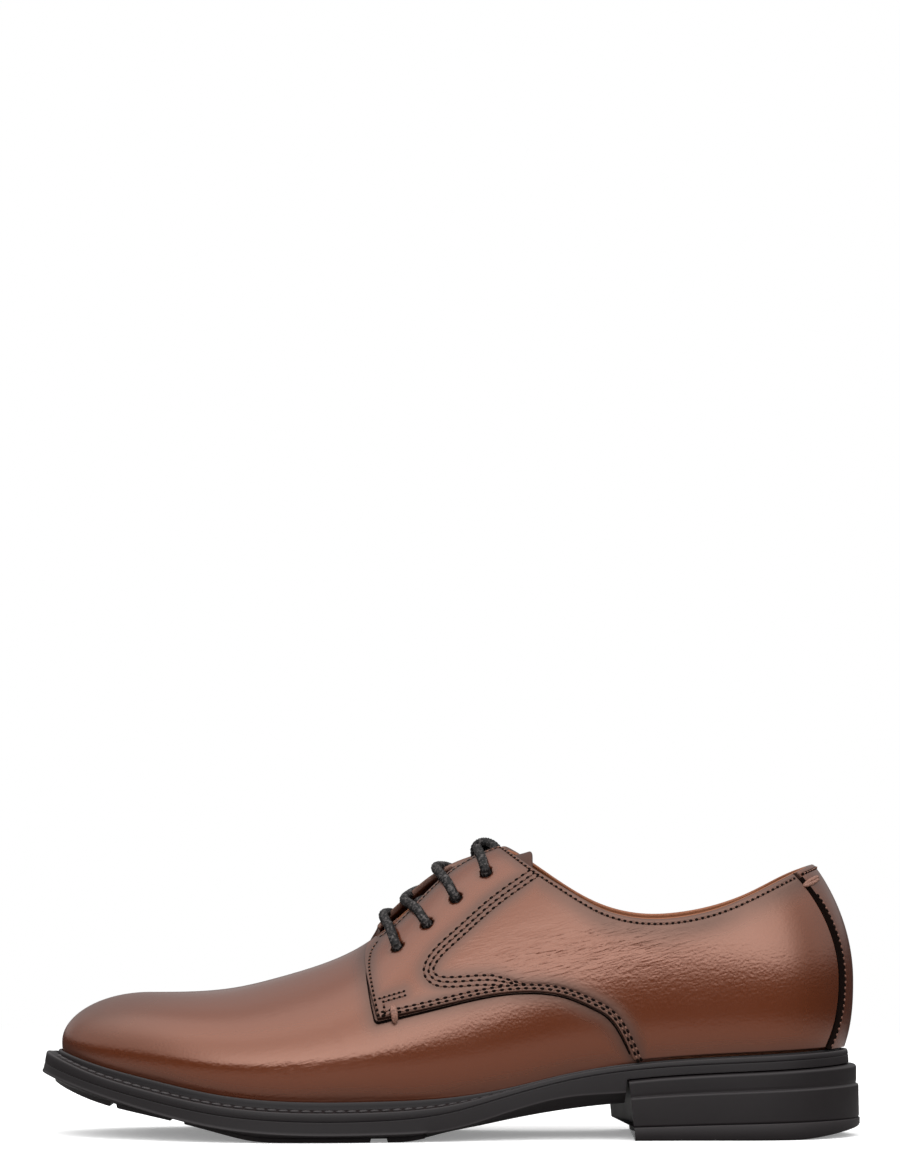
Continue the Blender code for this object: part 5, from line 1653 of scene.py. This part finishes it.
def heelRing(step, heightAt, skew=1.0, breastPoints=24):
    ring = []
    for side, stations in ((lateral, heelStations), (medial, heelStations[-2::-1])):
        for station in stations:
            place = station + (skew * breastSkew(station) if side == medial else 0.0)
            ring.append(onEdge(side, place, [(float(heelOut(place)) + step, heightAt(place))])[0])
    start, end = ring[-1], ring[0]
    for i in range(1, breastPoints + 1):
        share = i / (breastPoints + 1)
        point = start + (end - start) * share
        point[0] -= sole["breastHollow"] * math.sin(math.pi * share)
        ring.append(point)
    ring = np.array(ring)
    down = np.clip(1 - ring[:, 2] / 22, 0, 1)
    ring[:, 0] -= heel["lean"] * down * np.clip((ring[:, 0] - 60) / 27, 0, 1)
    return ring


def heelPiece(name, rings, edgeHighlight, material, node):
    count = len(rings[0])
    back = len(heelStations) - 1
    faces = gridFaces(len(rings), count, closedRows=True)
    for start in (0, (len(rings) - 1) * count):
        ring = np.arange(start, start + count)
        caps = [(ring[i], ring[i + 1], ring[2 * back - i - 1], ring[2 * back - i]) for i in range(back - 1)]
        caps += [ring[back - 1:back + 2], np.r_[ring[0], ring[2 * back:]]]
        faces += [tuple(int(k) for k in cap) for cap in caps]
    rims = np.repeat(edgeHighlight, count)
    piece = pieceFrom(name, np.concatenate(rings), faces, material, {"rim": rims}, sharp=38)
    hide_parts(node)


def makeHeel():
    height = 18.0      # about, so that corners round evenly
    line = roundedLine([(step, -share * height) for share, step in heel["layers"]], 0.35, 3)
    rings, edgeHighlight = [], []
    for step, down in line:
        share = -down / height
        rings.append(heelRing(
            step, lambda s: heelSeat(s) * (1 - share) + (liftTop(s) + sole["jointGap"]) * share))
        # painted highlight along the edges of the layers
        edgeHighlight.append(max(0.7 * math.exp(-((share - mark) * height / 0.3) ** 2) for mark in heel["edgeHighlight"]))
    heelPiece("dressed_heel", rings, edgeHighlight, heelRubber, "heel")
    rings, edgeHighlight = [], []
    for level, table in ((liftTop, heel["liftTopRings"]), (heelRoll, heel["liftFootRings"])):
        for step, rise, wear in table:
            rings.append(heelRing(step, lambda s: level(s) + rise, heel["liftSkew"]))
            edgeHighlight.append(wear)
    heelPiece("dressed_top_lift", rings, edgeHighlight, heelRubber, "top_lift")


insole = {"thickness": 3.2, "inset": 2.3, "dish": 0.9, "edge": 0.5}


def makeInsole(across=24):
    stations = np.unique(np.r_[fan(236, toeEnd, 30), np.arange(50, 236, 2.5), fan(50, heelEnd, 26)])
    rows = []
    for station in stations[::-1]:
        ends = []
        for side in (lateral, medial):
            bottom = levelInside(side, station, -insole["inset"]) - float(soleSink(station))
            top = bottom + insole["thickness"]
            ends.append(onEdge(side, station, [(-insole["inset"], top), (-insole["inset"], bottom)]))
        share = np.linspace(0, 1, across)[:, None]
        width = float(np.linalg.norm(ends[1][0] - ends[0][0]))
        fromEdge = np.minimum(share, 1 - share)[:, 0] * width
        topRow = ends[0][0] * (1 - share) + ends[1][0] * share
        topRow[:, 2] -= 0.6 * (1 - edgeShape(fromEdge, insole["edge"]))
        topRow[:, 2] -= insole["dish"] * np.clip(fromEdge / 14, 0, 1) ** 2
        bottomRow = ends[1][1] * (1 - share) + ends[0][1] * share
        rows.append(np.concatenate([topRow, bottomRow]))
    rows = np.array(rows)
    columns, count = rows.shape[:2]
    faces = gridFaces(columns, count, closedRows=True)
    faces += [tuple(range(count)), tuple(range((columns - 1) * count, columns * count))]
    zero = np.zeros(rows.shape[:2])
    masks = {"burnishAndShade": zero + 0.1, "wrinkle": zero + 0.1, "hole": zero}
    piece = pieceFrom("dressed_insole", rows.reshape(-1, 3), faces, liningLeather,
                      masks, sharp=50)
    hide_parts("insole")


# lace: bars over the throat, the strands that cross under them, and the tucked half knot

lace = {
    "diameter": 3.4,
    "around": 26,
    "spacing": 0.3,
    "inHole": (-2.4, -0.2, 1.8),      # heights off the last going up out of a hole
    "onFacing": 3.95,      # height of the lace's middle over a facing
    "farFacing": 2.5,
    "crowns": [      # station, across, height where each bar lies over the medial facing edge
        (174.9, 4.4, 81.4), (166.7, 4.2, 88.0), (155.2, 4.0, 98.9), (140.2, 4.6, 105.2),
    ],
    "under": -1.05,
    "tuck": [      # station, across, height
        (141.4, 8.6, 98.6), (141.4, 7.4, 102.2), (141.6, 5.6, 105.4), (140.0, 3.4, 107.3),
        (137.6, 1.0, 107.6), (135.2, -1.2, 106.6), (133.2, -2.6, 104.4), (131.5, -3.2, 100.6),
    ],
    "tuckUnder": [      # the other end, under the loop
        (141.0, 9.0, 99.5), (139.8, 7.2, 102.8), (137.6, 4.6, 104.6), (134.8, 1.8, 105.0),
        (132.2, -0.4, 103.4), (130.5, -1.6, 100.4),
    ],
    "braidRelief": 0.17,
    "braidPitch": 2.3,
    "braidTurns": 6,
}


def barPath(index):      # up out of the lateral hole, over the throat and down into the medial hole
    station, height = quarter["holes"][index]
    crown = np.array(lace["crowns"][index])
    holeRib, holeT = (values[index] for values in holePlaces(lateral))
    path = [offLast(lateral, holeRib, holeT, off) for off in lace["inHole"]]
    for share, off in ((0.09, 3.3), (0.24, lace["onFacing"] + 0.1), (0.52, lace["onFacing"])):
        s, z = station + (crown[0] - station) * share, height + (crown[2] - height) * share
        rib, t = fromSide(lateral, np.array([s]), np.array([z]), off)
        path.append(offLast(lateral, rib[0], t[0], off))
    path.append(crown)
    farRib, farT = (values[index] for values in holePlaces(medial))
    edge = float(topAt(medial, farRib))
    for share in (0.62, 0.30):
        stand = float(facingLift(farRib)) * share
        path.append(offLast(medial, farRib, farT + (edge - farT) * share, lace["farFacing"] + stand))
    path += [offLast(medial, farRib, farT, off) for off in lace["inHole"][::-1]]
    return path


def underPath(index):      # from under the medial facing to under the lateral one, one hole further up
    ribM = float(holePlaces(medial)[0][index]) - 2.0
    ribL = float(holePlaces(lateral)[0][index + 1]) + 1.0
    points = []
    for share in np.linspace(0, 1, 9):
        rib = ribM + (ribL - ribM) * share
        spread = (1 - 2 * share) * 11.0      # across the throat, medial side first
        side = medial if spread >= 0 else lateral
        t = float(tNearRidge(side, rib, abs(spread)))
        points.append(offLast(side, rib, t, lace["under"]))
    return points


def braid(along, turns):
    n, k = lace["braidTurns"], 2 * math.pi / lace["braidPitch"]
    return lace["braidRelief"] * np.cos(n * turns + k * along) * np.cos(n * turns - k * along)


def makeLace():
    paths = [barPath(i) for i in range(4)] + [underPath(i) for i in range(3)]
    paths += [lace["tuck"], lace["tuckUnder"]]
    lines = [smoothLine(path, lace["spacing"]) for path in paths]
    tubes = [tubeRings(line, lace["diameter"] / 2, lace["around"], braid) for line in lines]
    piece = tubesPiece("lace", tubes, laceCord)
    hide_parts(*["lace_bar_%d" % (i + 1) for i in range(4)])


# thick thread tacks at the quarter's corner and at the top of the back strip

tacks = [
    {      # at the quarter's lower front corner
        "from": (171.5, 48.9), "to": (170.6, 42.9), "strands": 3, "spread": 0.62, "way": (1.0, 0.0),
        "radius": 0.66, "crown": 0.5, "heights": [2.0, 2.8, 3.0, 3.0, 2.9, 2.6, 2.0, 1.3, 0.5],
    },
    {      # at the top of the back strip
        "from": (21.4, 91.8), "to": (15.6, 94.3), "strands": 2, "spread": 1.3, "way": (0.0, 1.0),
        "radius": 0.8, "crown": 0.0, "heights": [1.6, 2.5, 3.0, 3.3, 3.35, 3.35, 3.3, 3.1, 2.2],
    },
]


def strandRings(side, tack, shift):      # one arched strand between two side-view points
    heights = np.array(tack["heights"]) + tack["crown"] * (1 - (shift / 1.2) ** 2)
    bulge = np.sin(np.linspace(0, math.pi, len(heights))) ** 0.6 * shift
    stations, levels = (
        np.linspace(start, end, len(heights)) + bulge * way
        for start, end, way in zip(tack["from"], tack["to"], tack["way"])
    )
    rib, t = fromSide(side, stations, levels, 2.4)
    path = smoothLine(offLast(side, rib, t, heights), 0.25)
    rings = tubeRings(path, tack["radius"], 8)
    centre = path[:, None]
    taper = np.maximum(0.3, (1 - np.abs(np.linspace(-1, 1, len(path))) ** 5) ** 0.5)
    return centre + (rings - centre) * taper[:, None, None]


def makeTacks():
    tubes = []
    for side in (lateral, medial):
        for tack in tacks:
            for k in range(tack["strands"]):
                tubes.append(strandRings(side, tack, (k - (tack["strands"] - 1) / 2) * tack["spread"]))
    tubesPiece("thread_tacks", tubes, tackThread)


cornerBox = [(176.4, 51.3), (167.6, 53.9), (167.2, 52.4), (175.0, 50.2), (174.4, 46.2)]      # station, height


def sewCornerTacks():      # the short box of stitches at the quarter's lower front corner
    for side in (lateral, medial):
        for ends in zip(cornerBox, cornerBox[1:]):
            sewOnSide(side, smoothLine(ends, 0.3), 1.9)


# stage, lights and camera

studio = {
    "floorSize": 30.0,
    "floorSeen": (0.90, 0.90, 0.90),      # to the camera
    "floorNear": (0.36, 0.35, 0.345),      # as the shoe mirrors it, close by
    "floorFar": (0.006, 0.006, 0.006),
    "mirrorFade": (0.24, 0.40),      # metres from the middle
    "seenFade": (0.30, 1.1),
    "glow": 0.25,      # keeps the floor by the shoe near white
    "tent": 3.2,
    "tentFoot": (0.045, 0.185),      # rise of the tent's edge above the horizon
    "tentPanels": [      # how far a direction points to the front, share of the light
        (0.0, 0.13), (0.22, 0.25), (0.42, 0.56), (0.56, 0.66), (0.68, 0.60), (0.78, 0.68),
        (0.90, 0.94), (1.0, 1.16),
    ],
    "tentSides": (0.45, 1.0, 0.42),      # it fades between these shares sideways, to this share
    "tentTint": (1.0, 0.97, 0.95),
    "fill": 0.05,
    "key": {
        "place": (-0.35, -0.7, 1.35), "aim": (0.0, 0.0, 0.05), "width": 0.9, "depth": 0.6, "power": 2.5,
    },
}


def smoothStep(tree, value, start, end, least=0.0):
    node = addNode(tree, "ShaderNodeMapRange", {"Value": value, "From Min": start, "From Max": end,
                                                "To Min": least}, interpolation_type="SMOOTHSTEP")
    return node.outputs["Result"]


def makeFloor():
    half = studio["floorSize"] / 2
    mesh = bpy.data.meshes.new("floor")
    corners = [(-half, -half, 0), (half, -half, 0), (half, half, 0), (-half, half, 0)]
    mesh.from_pydata(corners, [], [(0, 1, 2, 3)])
    floor = bpy.data.objects.new("floor", mesh)
    bpy.context.scene.collection.objects.link(floor)
    material, tree, shader = newMaterial("pale floor")
    shader.inputs["Roughness"].default_value = 0.9
    shader.inputs["Specular IOR Level"].default_value = 0.1
    away = addNode(tree, "ShaderNodeVectorMath", {0: objectPlace(tree)}, operation="LENGTH").outputs["Value"]
    camera = addNode(tree, "ShaderNodeLightPath").outputs["Is Camera Ray"]
    mirrorFade, seenFade = (smoothStep(tree, away, *studio[name]) for name in ("mirrorFade", "seenFade"))
    mirrored = mixColours(tree, mirrorFade, studio["floorNear"], studio["floorFar"])
    seen = mixColours(tree, camera, mirrored, studio["floorSeen"])
    tree.links.new(seen, shader.inputs["Base Color"])
    glow = mixColours(tree, camera, (0, 0, 0), (studio["glow"],) * 3)
    tree.links.new(glow, shader.inputs["Emission Color"])
    shader.inputs["Emission Strength"].default_value = 1.0
    white = addNode(tree, "ShaderNodeEmission", {"Color": (1, 1, 1, 1), "Strength": 1.0})
    faded = mathNode(tree, "MULTIPLY", seenFade, camera)
    mixed = addNode(tree, "ShaderNodeMixShader", {0: faded, 1: shader.outputs[0], 2: white.outputs[0]})
    tree.links.new(mixed.outputs[0], tree.nodes["Material Output"].inputs["Surface"])
    mesh.materials.append(material)


def makeLights():
    key = studio["key"]
    lamp = bpy.data.lights.new("key soft box", "AREA")
    lamp.shape = "RECTANGLE"
    lamp.size, lamp.size_y = key["width"], key["depth"]
    lamp.energy = key["power"]
    holder = bpy.data.objects.new("key soft box", lamp)
    holder.location = key["place"]
    holder.rotation_euler = (Vector(key["aim"]) - Vector(key["place"])).to_track_quat("-Z", "Y").to_euler()
    holder.visible_camera = False
    holder.visible_glossy = False
    bpy.context.scene.collection.objects.link(holder)
    world = bpy.data.worlds.new("light tent")
    world.use_nodes = True
    bpy.context.scene.world = world
    tree = world.node_tree
    direction = addNode(tree, "ShaderNodeTexCoord").outputs["Generated"]
    ways = addNode(tree, "ShaderNodeSeparateXYZ", {0: direction}).outputs
    foot = smoothStep(tree, ways["Z"], *studio["tentFoot"])
    near, far, edge = studio["tentSides"]
    aside = smoothStep(tree, mathNode(tree, "ABSOLUTE", ways["X"]), far, near, edge)
    ahead = addNode(tree, "ShaderNodeValToRGB", {0: mathNode(tree, "MULTIPLY_ADD", ways["Y"], -0.5, 0.5)})
    ahead.color_ramp.interpolation = "EASE"
    stops = ahead.color_ramp.elements
    for i, (place, share) in enumerate(studio["tentPanels"]):
        stop = stops[i] if i < 2 else stops.new(place)
        stop.position = place
        stop.color = (*(share * tint for tint in studio["tentTint"]), 1)
    panel = mathNode(tree, "MULTIPLY", mathNode(tree, "MULTIPLY", foot, aside), ahead.outputs["Color"])
    shone = mathNode(tree, "MULTIPLY", panel, studio["tent"])
    tent = tree.nodes["Background"]
    tent.inputs["Color"].default_value = (1, 1, 1, 1)
    tree.links.new(mathNode(tree, "ADD", shone, studio["fill"]), tent.inputs["Strength"])
    seen = addNode(tree, "ShaderNodeBackground", {"Color": (1, 1, 1, 1), "Strength": 1.0})
    ray = addNode(tree, "ShaderNodeLightPath")
    mixed = addNode(tree, "ShaderNodeMixShader", {0: ray.outputs["Is Camera Ray"], 1: tent.outputs[0],
                                                  2: seen.outputs[0]})
    tree.links.new(mixed.outputs[0], tree.nodes["World Output"].inputs["Surface"])
    bpy.context.scene.view_settings.view_transform = "Standard"


view = {"distance": 1.5, "height": 0.095, "frameWidth": 0.3345, "pitch": 4.09}


def makeCamera():
    camera = bpy.data.cameras.new("photo camera")
    camera.sensor_fit = "HORIZONTAL"
    camera.sensor_width = 36.0
    camera.lens = camera.sensor_width * view["distance"] / view["frameWidth"]
    camera.clip_end = 100.0
    holder = bpy.data.objects.new("photo camera", camera)
    holder.location = (0, -view["distance"], view["height"])
    holder.rotation_euler = (math.radians(90 + view["pitch"]), 0, 0)
    bpy.context.scene.collection.objects.link(holder)
    bpy.context.scene.camera = holder


makeCamera()
makeFloor()
makeLights()
sewCornerTacks()
for shoeSide in (lateral, medial):
    makeQuarter(shoeSide)
makeVamp()
makeEdgeShadow()
makeLining()
makeBackStrip()
makeTongue()
makeWelt()
makeWeltStitches()
makeOutsole()
makeHeel()
makeInsole()
makeLace()
makeTacks()
makeThreads()
print("shoe dressed")
